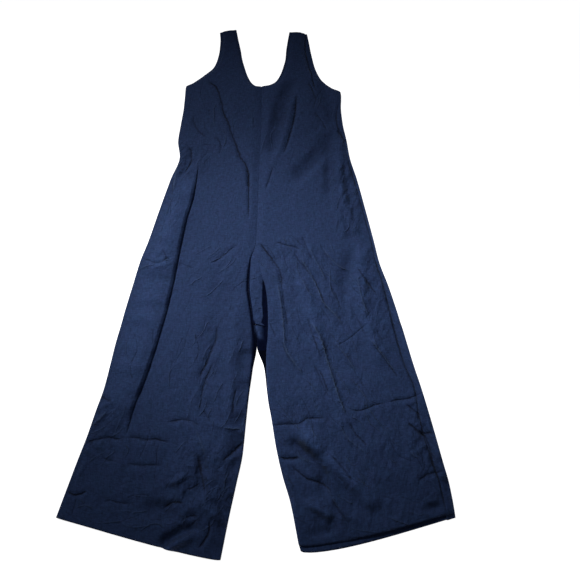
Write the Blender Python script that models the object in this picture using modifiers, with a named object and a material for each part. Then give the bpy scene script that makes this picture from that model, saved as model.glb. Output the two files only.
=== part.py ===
"""A sleeveless, wide-legged jumpsuit of woven cloth, laid flat on its back.

Run it with: blender --background --python part.py, or from Blender's text editor.

The garment is two flattened tubes side by side. In each half a front panel lies on a back
panel. At the neck, armhole, shoulder and hem the two panels end one above the other, and at
the side the cloth turns over in one round fold, with the side seam somewhere along that turn.
Right and left are the wearer's, so the right half lies at -X. +Y points to the shoulders, and
the underside rests on Z = 0.
"""

import math
from collections import namedtuple

import bmesh
import bpy

MM = 0.001  # every length below is in millimetres

# Cloth
WALL = 1.2  # woven cloth with its turnings, taken as one wall
SEAM_GAP = 0.3  # between two panels that are sewn together
AIR_EDGE = 0.35  # under the front cloth where it lies down on the back
AIR_BODY = 0.9  # under the front cloth away from its edges
AIR_FOLD = 2.6  # inside the round fold at the side
EDGE_FALL = 26.0  # width over which the cloth comes down to an edge
TURN_RUN = 16.0  # width over which the cloth comes up to the round fold

# Mesh
ROW_STEP = 48.0  # longest stretch of a side edge between two rows
MID_COLUMNS_FRONT = 17
MID_COLUMNS_BACK = 4
INNER_COLUMNS = (4.0, 13.0)  # distances from a panel's inner edge
TURN_COLUMNS = 6  # steps of the columns that go round the fold
END_COLUMNS = 2  # steps between the fold and the side seam
SHORTEST_COLUMN = 0.6

NAVY = (0.028, 0.046, 0.105, 1.0)
NAVY_SHADE = (0.024, 0.040, 0.092, 1.0)
CLOTH_ROUGHNESS = 0.86

# One row is one section of a half, from the outer side to the middle of the garment.
# outer: the outermost point of the half. front_in, back_in: where each panel ends towards the
# middle, at the neck edge, the centre seam or the inside leg. seam: how far inside the outer
# edge the side seam lies on the front, or, below zero, under the back. fold: 1 where the cloth
# turns over in a fold at the side, 0 where front and back end apart. tuck: how much further
# in the front ends than the back at an open armhole. bow: sag of the row towards the hem.
Section = namedtuple(
    "Section", "place outer_x outer_y front_in_x back_in_x in_y seam fold tuck bow"
)

RIGHT_HALF = [
    Section("shoulder", -138, 688, -88, -88.5, 699.5, 0, 0, 0, 0),
    Section("strap", -135, 655, -80, -81, 658, 0, 0, 0, 0),
    Section("strap", -136, 620, -72, -73.5, 620, 0, 0, 0, 0),
    Section("armhole", -140, 591, -67, -68.5, 590, 0, 0, 0, 0),
    Section("armhole", -149, 562, -59.5, -61, 561, 0, 0, 0, 0),
    Section("armhole", -175, 533, -51, -52.5, 533, 0, 0, 0, 0),
    Section("armhole", -207, 505, -39, -40, 508, 0, 0, 0, 0),
    Section("underarm", -226, 492, -24, -24, 494.5, 0, 0, 0, 0),
    Section("neck point", -225.6, 481, -8.5, -8.5, 492, -2.5, 0.9, 0, 0),
    Section("bust", -225.5, 463, -8.3, -8.3, 470, -4, 1, 0, 0),
    Section("bust", -226, 422, -8, -8, 424, -4, 1, 0, 0),
    Section("ribs", -230, 369, -7.8, -7.8, 370, -4, 1, 0, 0),
    Section("waist, over", -234, 312, -8.3, -8.3, 312, -4, 1, 0, 0),
    Section("waist", -226, 260, -9.6, -9.6, 260, -4, 1, 0, 0),
    Section("hip", -245, 192, -11.2, -11.2, 192, -4, 1, 0, 0),
    Section("hip", -268, 98, -12.3, -12.3, 98, -4, 1, 0, 0),
    Section("front fork", -288, 12, -14, -14, 12, -4, 1, 0, 0),
    Section("slit", -303, -41, -27.8, -14, -41, -4, 1, 0, 0),
    Section("slit", -315, -104, -31.2, -14, -104, -4, 1, 0, 0),
    Section("slit", -327, -168, -22.5, -13, -170, -4, 1, 0, 0),
    Section("slit", -333, -205, -15.5, -10.5, -208, -4, 1, 0, 0),
    Section("inside leg", -340.5, -247, -11, -6.2, -255, -4, 1, 0, 0),
    Section("inside leg", -347, -296, -14.4, -14.4, -309, -4, 1, 0, 0),
    Section("knee", -355, -351, -21.8, -21.8, -372, -4, 1, 0, -1),
    Section("knee", -368, -404, -27, -27, -434, -4, 1, 0, -2),
    Section("shin", -380, -456, -32, -32, -495, -4, 1, 0, -3),
    Section("shin", -394, -506, -44, -44, -556, -4, 1, 0, -4),
    Section("shin", -407, -555, -57, -57, -620, -4, 1, 0, -5),
    Section("hem", -424, -620, -71.5, -71.5, -699.5, -4, 1, 0, -5),
]

LEFT_HALF = [
    Section("shoulder", 125, 685, 71, 71.5, 690, 0, 0, 7, 0),
    Section("strap", 130, 655, 66, 67, 657, 0, 0, 12, 0),
    Section("strap", 135, 620, 61.5, 63, 621, 0, 0, 17, 0),
    Section("armhole", 140, 591, 59.5, 61, 591, 0, 0, 15, 0),
    Section("armhole", 146, 562, 53.5, 55, 562, 0, 0, 14, 0),
    Section("armhole", 157, 531, 45, 46.5, 534, 0, 0, 7, 0),
    Section("armhole", 174, 504, 31, 32, 509, 0, 0, 0, 0),
    Section("armhole", 194, 487, 13, 13, 498, 0, 0, 0, 0),
    Section("underarm", 218, 473, -8, -8, 492, 0, 0, 0, 0),
    Section("bust", 218.2, 461, -7.9, -7.9, 474, 0, 0.75, 0, 0),
    Section("bust", 217.4, 444, -7.8, -7.8, 452, 6, 1, 0, 0),
    Section("bust", 216, 420, -7.7, -7.7, 424, 14, 1, 0, 0),
    Section("ribs", 219, 369, -7.5, -7.5, 370, 16, 1, 0, 0),
    Section("waist, over", 228, 312, -8, -8, 312, 7, 1, 0, 0),
    Section("waist", 234, 262, -9.3, -9.3, 262, 8, 1, 0, 0),
    Section("hip", 251, 192, -10.9, -10.9, 192, 9, 1, 0, 0),
    Section("hip", 270, 98, -12, -12, 98, 8, 1, 0, 0),
    Section("front fork", 286.5, 12, -13.7, -13.7, 12, 8, 1, 0, 0),
    Section("slit", 296, -41, -27.2, -13.7, -41, 9, 1, 0, 0),
    Section("slit", 315, -104, -30.4, -13.7, -104, 13, 1, 0, 0),
    Section("slit", 331.5, -168, -21.5, -12.7, -168, 18, 1, 0, 0),
    Section("tongue end", 339, -200, -16, -10.2, -200, 20, 1, 0, 0),
    Section("inside leg", 341, -207, 15, -9.8, -207, 20, 1, 0, 0),
    Section("inside leg", 350, -247, 15.6, -5.8, -254, 22, 1, 0, 0),
    Section("inside leg", 361, -296, 16.5, 12.5, -306, 22, 1, 0, 0),
    Section("knee", 375, -351, 20.5, 20.5, -364, 17, 1, 0, 0),
    Section("knee", 387, -404, 31.5, 31.5, -421, 24, 1, 0, 0),
    Section("shin", 398, -456, 42, 42, -479, 27, 1, 0, -1),
    Section("shin", 408, -506, 56, 56, -536, 24, 1, 0, -4),
    Section("shin", 418, -555, 74, 74, -592, 21, 1, 0, -7),
    Section("front hem", 423.5, -609, 91, 91, -671, 20, 1, 0, -11),
    Section("back hem", 424, -620, 95, 95, -684, 20, 1, 0, -12),
]
BOW_SKEW = 0.6  # the sag is deepest nearer the inside leg

# Folds and tension lines of the front cloth. Each follows its points, x then y. rise is its
# height, below zero for a trough, and width is from one foot to the other.
Fold = namedtuple("Fold", "name half width rise points")

FOLDS = [
    Fold("long drape fold", "right", 60, 4.2,
         [(-196, 235), (-212, 120), (-236, -20), (-262, -160), (-290, -310), (-318, -440)]),
    Fold("long drape valley", "right", 26, -2.4,
         [(-181, 225), (-196, 110), (-219, -60), (-241, -205), (-275, -350), (-298, -452)]),
    Fold("dart", "right", 24, -1.6,
         [(-134, 486), (-116, 430), (-100, 369), (-70, 290), (-40, 232), (-34, 80)]),
    Fold("dart ridge", "right", 34, 2.4,
         [(-118, 480), (-98, 425), (-82, 369), (-50, 292), (-24, 236), (-22, 150)]),
    Fold("dart", "left", 24, -1.8,
         [(90, 462), (87, 399), (75, 340), (50, 262), (18, 195)]),
    Fold("dart ridge", "left", 34, 2.2,
         [(110, 455), (106, 399), (94, 335), (70, 262), (38, 190)]),
    Fold("bust valley", "left", 44, -1.5,
         [(137, 515), (156, 449), (172, 366), (140, 292), (96, 228)]),
    Fold("bust swell", "left", 70, 2.6,
         [(40, 470), (32, 400), (22, 320), (8, 240)]),
    Fold("waist fold", "right", 34, 2.6,
         [(-222, 262), (-232, 220), (-240, 170)]),
    Fold("side swell", "left", 60, 3.0,
         [(190, 330), (196, 250), (214, 150), (226, 40)]),
    Fold("fork whisker", "right", 30, 1.9, [(-34, 6), (-80, -22), (-118, -64)]),
    Fold("slit edge", "right", 36, 2.6,
         [(-26, -10), (-44, -60), (-46, -120), (-38, -180), (-32, -240)]),
    Fold("fork fold", "left", 34, 3.0,
         [(0, 6), (22, -20), (50, -60), (66, -120)]),
    Fold("slit edge", "left", 34, 3.4,
         [(20, -70), (32, -130), (34, -200), (36, -290)]),
    Fold("tongue valley", "left", 22, -2.0,
         [(2, -50), (10, -130), (13, -200)]),
    Fold("thigh fold", "left", 34, 3.0,
         [(104, 15), (122, -50), (150, -120), (172, -190)]),
    Fold("thigh fold", "left", 34, 2.6,
         [(70, -130), (98, -205), (118, -280), (140, -345)]),
    Fold("thigh fold", "left", 36, 2.8,
         [(140, -200), (160, -275), (178, -345), (200, -400)]),
    Fold("thigh fold", "left", 40, 2.4,
         [(206, -60), (236, -150), (262, -250), (290, -330)]),
    Fold("shin ridge", "left", 46, 4.0,
         [(72, -436), (110, -462), (150, -506), (196, -556), (240, -566)]),
    Fold("shin trough", "left", 30, -1.6,
         [(62, -476), (104, -506), (150, -545), (196, -588)]),
    Fold("shin ridge", "left", 36, 2.8,
         [(150, -575), (186, -612), (212, -640)]),
    Fold("outer fold", "left", 32, 3.0,
         [(300, -428), (336, -452), (362, -500)]),
    Fold("knee fold", "right", 36, 2.6,
         [(-84, -250), (-104, -320), (-150, -372), (-158, -430)]),
    Fold("press fold", "right", 26, 1.8,
         [(-338, -458), (-270, -462), (-196, -470)]),
    Fold("press fold", "left", 26, 1.8,
         [(44, -436), (120, -424), (230, -394), (350, -362)]),
    Fold("shin fold", "right", 40, 3.2,
         [(-62, -478), (-116, -530), (-168, -590), (-196, -640)]),
    Fold("hem roll", "right", 36, 2.8,
         [(-196, -664), (-150, -640), (-108, -612)]),
    Fold("open hem", "left", 70, 2.6,
         [(120, -668), (200, -668), (300, -646), (396, -620)]),
]


def smooth_step(x):
    x = min(1.0, max(0.0, x))
    return x * x * (3.0 - 2.0 * x)


def mix(a, b, t):
    return a + (b - a) * t


def stations(sections):
    """How far down the half each section lies, measured along the mean of its two edges."""
    places = [0.0]
    for a, b in zip(sections, sections[1:]):
        outer = math.hypot(b.outer_x - a.outer_x, b.outer_y - a.outer_y)
        inner = math.hypot(b.back_in_x - a.back_in_x, b.in_y - a.in_y)
        places.append(places[-1] + (outer + inner) / 2)
    return places


def slopes(places, values):
    """Slopes of a smooth curve through the values that never passes beyond them."""
    steps = [
        (v2 - v1) / (p2 - p1)
        for p1, p2, v1, v2 in zip(places, places[1:], values, values[1:])
    ]
    inner = [
        0.0 if a * b <= 0 else 2 * a * b / (a + b) for a, b in zip(steps, steps[1:])
    ]
    return [steps[0]] + inner + [steps[-1]]


def rows_of(sections):
    """Sections close enough together to loft through, with every column eased between rows."""
    places = stations(sections)
    numbers = {
        field: [getattr(section, field) for section in sections]
        for field in Section._fields[1:]
    }
    rates = {field: slopes(places, values) for field, values in numbers.items()}
    rows = []
    for i, section in enumerate(sections[:-1]):
        length = places[i + 1] - places[i]
        count = max(1, math.ceil(length / ROW_STEP))
        for k in range(count):
            t = k / count
            row = {}
            for field, values in numbers.items():
                row[field] = (
                    (1 + 2 * t) * (1 - t) ** 2 * values[i]
                    + t * (1 - t) ** 2 * length * rates[field][i]
                    + t * t * (3 - 2 * t) * values[i + 1]
                    - t * t * (1 - t) * length * rates[field][i + 1]
                )
            rows.append(Section(section.place, **row))
    rows.append(sections[-1])
    return rows


def distance_to_path(x, y, points):
    """Distance to a chain of points, and how far along the chain that is, from 0 to 1."""
    best, along, passed = math.inf, 0.0, 0.0
    total = sum(math.dist(a, b) for a, b in zip(points, points[1:]))
    for a, b in zip(points, points[1:]):
        run = math.dist(a, b)
        t = ((x - a[0]) * (b[0] - a[0]) + (y - a[1]) * (b[1] - a[1])) / run**2
        t = min(1.0, max(0.0, t))
        away = math.dist((x, y), (mix(a[0], b[0], t), mix(a[1], b[1], t)))
        if away < best:
            best, along = away, (passed + t * run) / total
        passed += run
    return best, along


def fold_rise(half, x, y):
    """Height that the folds of one half add at a point of its front."""
    rise = 0.0
    for fold in FOLDS:
        if fold.half != half:
            continue
        away, along = distance_to_path(x, y, fold.points)
        if away < fold.width:
            ends = smooth_step(along / 0.15) * smooth_step((1.0 - along) / 0.15)
            across = math.cos(math.pi * min(1.0, away / (0.72 * fold.width)) / 2) ** 2
            rise += fold.rise * across * mix(0.35, 1.0, ends)
    return rise


class Half:
    """One flattened tube of the garment: it finds the points of its two panels."""

    def __init__(self, name, sections):
        self.name = name
        self.rows = rows_of(sections)

    def line(self, row, in_x, out):
        """A function from the distance along a row to its place in plan, and its length."""
        start = (in_x, row.in_y)
        end = (mix(in_x, row.outer_x, out), mix(row.in_y, row.outer_y, out))
        length = math.dist(start, end)

        def place(distance):
            t = distance / length
            sag = row.bow * math.sin(math.pi * min(1.0, max(0.0, t)) ** BOW_SKEW)
            return mix(start[0], end[0], t), mix(start[1], end[1], t) + sag

        return place, length

    def top(self, row, x, y, from_outer, from_inner):
        """Height of the middle of the front wall."""
        hollow = mix(AIR_EDGE, AIR_FOLD, row.fold)
        air = mix(AIR_EDGE, AIR_BODY, smooth_step(from_inner / EDGE_FALL))
        air = mix(hollow, air, smooth_step(from_outer / TURN_RUN))
        clear = smooth_step((from_outer - 3.0) / TURN_RUN)
        air = max(AIR_EDGE, air + clear * fold_rise(self.name, x, y))
        return 1.5 * WALL + air

    def turn(self, row):
        """Radius of the middle of the cloth round the fold, and a quarter of the way round."""
        radius = (mix(AIR_EDGE, AIR_FOLD, row.fold) + WALL) / 2
        return radius, radius * math.pi / 2

    def seam_place(self, row):
        """The side seam's place along the turn: 0 at the outermost point, and + on the front."""
        radius, quarter = self.turn(row)
        reach = radius + WALL / 2
        if abs(row.seam) <= reach:
            return quarter * row.seam / reach
        return math.copysign(quarter + abs(row.seam) - reach, row.seam)

    def front_row(self, row):
        """Points of the front panel's middle surface, from the inner edge to the side seam."""
        out = 1.0 - row.tuck * (1.0 - row.fold) / math.hypot(
            row.outer_x - row.front_in_x, row.outer_y - row.in_y
        )
        place, length = self.line(row, row.front_in_x, out)
        radius, quarter = self.turn(row)
        centre = length - WALL / 2 - radius
        end = mix(quarter, self.seam_place(row) + SEAM_GAP / 2, row.fold)
        start = SEAM_GAP / 2
        total = centre - start + quarter - end
        points = []
        for distance in columns(total, centre - start, quarter, MID_COLUMNS_FRONT):
            u = start + distance
            if u <= centre:
                x, y = place(u)
                points.append((x, y, self.top(row, x, y, centre - u, u)))
            else:
                points.append(
                    self.turn_point(row, place, centre, quarter - (u - centre))
                )
        return points

    def back_row(self, row):
        """Points of the back panel's middle surface, from the inner edge to the side seam."""
        place, length = self.line(row, row.back_in_x, 1.0)
        radius, quarter = self.turn(row)
        centre = length - WALL / 2 - radius
        end = mix(-quarter, self.seam_place(row) - SEAM_GAP / 2, row.fold)
        start = SEAM_GAP / 2
        total = centre - start + end + quarter
        points = []
        for distance in columns(total, centre - start, quarter, MID_COLUMNS_BACK):
            u = start + distance
            if u <= centre:
                points.append((*place(u), WALL / 2))
            else:
                points.append(
                    self.turn_point(row, place, centre, (u - centre) - quarter)
                )
        return points

    def turn_point(self, row, place, centre, along):
        """A point at a distance along the turn: on the arc, on the front or under the back."""
        radius, quarter = self.turn(row)
        if along > quarter:
            u = centre - (along - quarter)
            x, y = place(u)
            return x, y, self.top(row, x, y, centre - u, u)
        if along < -quarter:
            return (*place(centre - (-along - quarter)), WALL / 2)
        angle = along / radius
        x, y = place(centre + radius * math.cos(angle))
        return x, y, WALL / 2 + radius * (1 + math.sin(angle))


def columns(total, flat, quarter, middle):
    """Distances of a row's points: close together where the cloth turns over at the side."""
    turn_end = min(flat + 2 * quarter, total - SHORTEST_COLUMN * END_COLUMNS)
    turn_start = min(flat, turn_end - SHORTEST_COLUMN * TURN_COLUMNS)
    stretches = [
        (INNER_COLUMNS[-1], turn_start, middle + 1),
        (turn_start, turn_end, TURN_COLUMNS),
        (turn_end, total, END_COLUMNS),
    ]
    distances = [0.0, *INNER_COLUMNS]
    for first, last, steps in stretches:
        distances += [mix(first, last, k / steps) for k in range(1, steps + 1)]
    return distances


def cloth_material(name, colour):
    material = bpy.data.materials.new(name)
    material.use_nodes = True
    shader = material.node_tree.nodes["Principled BSDF"]
    shader.inputs["Base Color"].default_value = colour
    shader.inputs["Roughness"].default_value = CLOTH_ROUGHNESS
    shader.inputs["Metallic"].default_value = 0.0
    return material


def panel(name, rows, colour, collection, face_up):
    """A panel lofted through its rows, as an open surface thickened to the cloth's wall."""
    mesh = bpy.data.meshes.new(name)
    build = bmesh.new()
    grid = [[build.verts.new([c * MM for c in point]) for point in row] for row in rows]
    for upper, lower in zip(grid, grid[1:]):
        for k in range(len(upper) - 1):
            corners = [upper[k], upper[k + 1], lower[k + 1], lower[k]]
            build.faces.new(corners if face_up else corners[::-1])
    build.to_mesh(mesh)
    build.free()
    mesh.shade_smooth()
    mesh.materials.append(cloth_material(name, colour))
    panel_object = bpy.data.objects.new(name, mesh)
    collection.objects.link(panel_object)
    wall = panel_object.modifiers.new("Wall", "SOLIDIFY")
    wall.thickness = WALL * MM
    wall.offset = 0.0
    wall.use_rim = True
    return panel_object


def main():
    for old in list(bpy.data.objects):
        bpy.data.objects.remove(old)
    collection = bpy.data.collections.new("jumpsuit")
    bpy.context.scene.collection.children.link(collection)

    right, left = Half("right", RIGHT_HALF), Half("left", LEFT_HALF)
    for half, face_up in ((right, True), (left, False)):
        front_rows = [row for row in half.rows if row.place != "back hem"]
        panel(
            f"front_{half.name}",
            [half.front_row(row) for row in front_rows],
            NAVY,
            collection,
            face_up,
        )
        panel(
            f"back_{half.name}",
            [half.back_row(row) for row in half.rows],
            NAVY_SHADE,
            collection,
            not face_up,
        )


main()
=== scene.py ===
"""A navy sleeveless, wide-legged jumpsuit of slubby plain-weave cloth, laid flat on its back.

The file is laid out as an add-on: run it as a script, or open it in Blender's text editor and
use the buttons in the sidebar. Every panel of cloth is a thin shell on the form of its solid.
Right and left are the wearer's, so the right half lies at -X. +Y points to the shoulders.
"""

import math
from collections import namedtuple
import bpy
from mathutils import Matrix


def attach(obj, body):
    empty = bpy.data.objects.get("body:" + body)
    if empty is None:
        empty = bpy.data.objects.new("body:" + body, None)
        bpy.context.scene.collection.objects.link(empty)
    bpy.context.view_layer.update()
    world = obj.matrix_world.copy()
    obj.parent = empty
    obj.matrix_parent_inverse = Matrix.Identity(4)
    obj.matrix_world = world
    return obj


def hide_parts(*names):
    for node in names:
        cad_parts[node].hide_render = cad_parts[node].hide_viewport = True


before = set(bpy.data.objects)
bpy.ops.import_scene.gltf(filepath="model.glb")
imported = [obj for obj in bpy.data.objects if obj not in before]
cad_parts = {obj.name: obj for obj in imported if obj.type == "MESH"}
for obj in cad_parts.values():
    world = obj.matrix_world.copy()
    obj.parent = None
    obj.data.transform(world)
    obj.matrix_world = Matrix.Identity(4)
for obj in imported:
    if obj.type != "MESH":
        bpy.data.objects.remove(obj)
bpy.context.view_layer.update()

from types import SimpleNamespace

import bpy
import numpy as np
from bpy.props import FloatProperty, FloatVectorProperty, PointerProperty

bl_info = {
    "name": "Flat jumpsuit",
    "version": (1, 0, 0),
    "blender": (4, 5, 0),
    "location": "3D View > Sidebar > Jumpsuit",
    "description": "Dresses the panels of a sleeveless wide-legged jumpsuit in creased cloth",
    "category": "Object",
}

MM = 0.001  # every length in the tables below is in millimetres

# Cloth, as in the solids
WALL = 1.2
SEAM_GAP = 0.06  # between two panels that are sewn together at the side
SEAM_LAP = 0.12  # how far each panel reaches past its end at the middle seam
AIR_EDGE = 0.35  # under the front cloth where it lies down on the back
AIR_CENTRE = 0.9  # under the front cloth beside the centre seam
AIR_FOLD = 2.6  # inside the round fold at the side
EDGE_FALL = 22.0  # width over which the cloth comes down to an edge
LEG_FALL = 14.0  # the same at an inside leg, where it rounds off
TURN_RUN = 16.0  # width over which the cloth comes up to the round fold
BOW_SKEW = 0.6  # the sag of a row is deepest nearer the inside leg
CREASE_CLEAR = 7.0  # creases die out over this width at the round fold
NECK_FOOT = 476.0  # Y of the lowest point of the neck's turned edge
FORK_TOP = 4.0  # Y at which the centre seam ends and the legs begin
TONGUE_END = -200.0  # Y of the lower end of the cloth that shows inside the fork
SWELLS = ((0.45, 52, 64, 7), (0.2, 23, 27, 8))  # slow unevenness: height, width, length, seed

# The open left hem: the height that its front sags and swells by, and how far up it does so
MOUTH_SAG, MOUTH_SWELL = -2.8, 3.4
MOUTH_UP, MOUTH_EASE = 74.0, 70.0

# The two backs reach this much further where they meet: behind the centre seam and in the fork
BACK_MEET = {"right": 0.6, "left": 0.2}
SEAM_FOOT, SEAM_HEAD = -20.0, 500.0  # from this Y to this behind the centre seam
FORK_MEET = -222.0  # Y of the middle of the meeting in the fork
BACK_NECK = 440.0  # Y above which the backs show their outside in the neck
BACK_FORK = -262.0  # and Y above which they do so in the fork, up to the tongue's end

# Inside the fork the backs are painted with shade, from one Y to the other and this far to each
# side
FORK_DARK_TOP, FORK_DARK_FOOT, FORK_DARK_SIDE = -20.0, -330.0, 60.0
# but for a lit wedge: Y of its foot, its height, half its width at the top, and the X of its
# middle at the foot and the top
WEDGE_FOOT, WEDGE_HEIGHT, WEDGE_WIDTH, WEDGE_MIDDLE = -250.0, 45.0, 7.6, (-2.3, -4.8)

# Stitching
STITCH_INSET = 0.4  # how far inside the turned edge it lies
STITCH_LIFT = 0.05  # of the middle of a stitch over the cloth
NECK_STITCHED = 492.0  # Y down to which the neck is stitched

# Mesh
FRONT_STEP = 3.5  # between rows
BACK_STEP = 5.0
FRONT_COLUMNS = 105
BACK_COLUMNS = 26
TURN_COLUMNS = 9  # steps round the side fold
END_COLUMNS = 4  # steps between the fold and the side seam
SHORTEST_COLUMN = 0.6  # at the side fold
CLOSEST_COLUMNS = 0.07  # between the middle and the line that the columns follow
SAMPLES = 160  # places along a row where the closeness of the columns is worked out

# First seeds of the random draws
CREASE_SEED, LINE_SEED, PATCH_SEED, STRAY_SEED = 100, 300, 500, 900

# One row is one section of a half, from the outer side to the middle of the garment.
# outer: the outermost point of the half. front_in, back_in: where each panel ends towards the
# middle, at the neck edge, the centre seam or the inside leg. seam: how far inside the outer
# edge the side seam lies on the front, or, below zero, under the back. fold: 1 where the cloth
# turns over in a fold at the side, 0 where front and back end apart. tuck: how much further
# in the front ends than the back at an open armhole. bow: sag of the row towards the hem.
Section = namedtuple(
    "Section", "place outer_x outer_y front_in_x back_in_x in_y seam fold tuck bow",
    defaults=(0, 0, 0, 0),
)

RIGHT_HALF = [Section(*row) for row in (
    ("shoulder", -138, 688, -88, -88.5, 699.5),
    ("strap", -135, 655, -80, -81, 658),
    ("strap", -136, 620, -72, -73.5, 620),
    ("armhole", -140, 591, -67, -68.5, 590),
    ("armhole", -149, 562, -59.5, -61, 561),
    ("armhole", -175, 533, -51, -52.5, 533),
    ("armhole", -207, 505, -39, -40, 508),
    ("underarm", -226, 492, -24, -24, 494.5),
    ("neck point", -225.6, 481, -8.5, -8.5, 492, -2.5, 0.9),
    ("bust", -225.5, 463, -8.3, -8.3, 470, -4, 1),
    ("bust", -226, 422, -8, -8, 424, -4, 1),
    ("ribs", -230, 369, -7.8, -7.8, 370, -4, 1),
    ("waist, over", -234, 312, -8.3, -8.3, 312, -4, 1),
    ("waist", -226, 260, -9.6, -9.6, 260, -4, 1),
    ("hip", -245, 192, -11.2, -11.2, 192, -4, 1),
    ("hip", -268, 98, -12.3, -12.3, 98, -4, 1),
    ("front fork", -288, 12, -14, -14, 12, -4, 1),
    ("slit", -303, -41, -27.8, -14, -41, -4, 1),
    ("slit", -315, -104, -31.2, -14, -104, -4, 1),
    ("slit", -327, -168, -22.5, -13, -170, -4, 1),
    ("slit", -333, -205, -15.5, -10.5, -208, -4, 1),
    ("inside leg", -340.5, -247, -11, -6.2, -255, -4, 1),
    ("inside leg", -347, -296, -14.4, -14.4, -309, -4, 1),
    ("knee", -355, -351, -21.8, -21.8, -372, -4, 1, 0, -1),
    ("knee", -368, -404, -27, -27, -434, -4, 1, 0, -2),
    ("shin", -380, -456, -32, -32, -495, -4, 1, 0, -3),
    ("shin", -394, -506, -44, -44, -556, -4, 1, 0, -4),
    ("shin", -407, -555, -57, -57, -620, -4, 1, 0, -5),
    ("hem", -424, -620, -71.5, -71.5, -699.5, -4, 1, 0, -5),
)]

LEFT_HALF = [Section(*row) for row in (
    ("shoulder", 125, 685, 71, 71.5, 690, 0, 0, 7),
    ("strap", 130, 655, 66, 67, 657, 0, 0, 12),
    ("strap", 135, 620, 61.5, 63, 621, 0, 0, 17),
    ("armhole", 140, 591, 59.5, 61, 591, 0, 0, 15),
    ("armhole", 146, 562, 53.5, 55, 562, 0, 0, 14),
    ("armhole", 157, 531, 45, 46.5, 534, 0, 0, 7),
    ("armhole", 174, 504, 31, 32, 509),
    ("armhole", 194, 487, 13, 13, 498),
    ("underarm", 218, 473, -8, -8, 492),
    ("bust", 218.2, 461, -7.9, -7.9, 474, 0, 0.75),
    ("bust", 217.4, 444, -7.8, -7.8, 452, 6, 1),
    ("bust", 216, 420, -7.7, -7.7, 424, 14, 1),
    ("ribs", 219, 369, -7.5, -7.5, 370, 16, 1),
    ("waist, over", 228, 312, -8, -8, 312, 7, 1),
    ("waist", 234, 262, -9.3, -9.3, 262, 8, 1),
    ("hip", 251, 192, -10.9, -10.9, 192, 9, 1),
    ("hip", 270, 98, -12, -12, 98, 8, 1),
    ("front fork", 286.5, 12, -13.7, -13.7, 12, 8, 1),
    ("slit", 296, -41, -27.2, -13.7, -41, 9, 1),
    ("slit", 315, -104, -30.4, -13.7, -104, 13, 1),
    ("slit", 331.5, -168, -21.5, -12.7, -168, 18, 1),
    ("tongue end", 339, -200, -16, -10.2, -200, 20, 1),
    ("inside leg", 341, -207, 15, -9.8, -207, 20, 1),
    ("inside leg", 350, -247, 15.6, -5.8, -254, 22, 1),
    ("inside leg", 361, -296, 16.5, 12.5, -306, 22, 1),
    ("knee", 375, -351, 20.5, 20.5, -364, 17, 1),
    ("knee", 387, -404, 31.5, 31.5, -421, 24, 1),
    ("shin", 398, -456, 42, 42, -479, 27, 1, 0, -1),
    ("shin", 408, -506, 56, 56, -536, 24, 1, 0, -4),
    ("shin", 418, -555, 74, 74, -592, 21, 1, 0, -7),
    ("front hem", 423.5, -609, 91, 91, -671, 20, 1, 0, -11),
    ("back hem", 424, -620, 95, 95, -684, 20, 1, 0, -12),
)]

# Creases of the front cloth. Each follows its points. left and right are its widths on the two
# sides of the way it runs, and rise is its height, below zero for a trough. shape: soft is
# round on top, sharp comes to a line, tuck is a sharp trough between two low shoulders, and
# roll falls steeply on its narrow side, as the edge of a lap does. lean is further height that
# only the cloth's shading has, since the garment has to lie thin; the cloth's colour is also
# painted paler where lean rises, as a painted highlight, and darker where it sinks, as a painted
# shade. The place of a crease in the list gives its seed, and so does that of a patch below.
Crease = namedtuple("Crease", "half name shape left right rise points lean", defaults=(0.0,))


def creases(half, *rows):
    """Creases of one half, from rows of their other fields."""
    return [Crease(half, *row) for row in rows]


# The edge of the long lap down the outer side of the right leg. It hangs over the front along
# a line 8 mm further in.
LONG_LAP = [(-183, 180), (-188, 130), (-199, 78), (-206, 30), (-211, -10), (-220, -90),
            (-230, -160), (-242, -222), (-262, -310), (-276, -358), (-288, -395), (-297, -440)]

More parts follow.
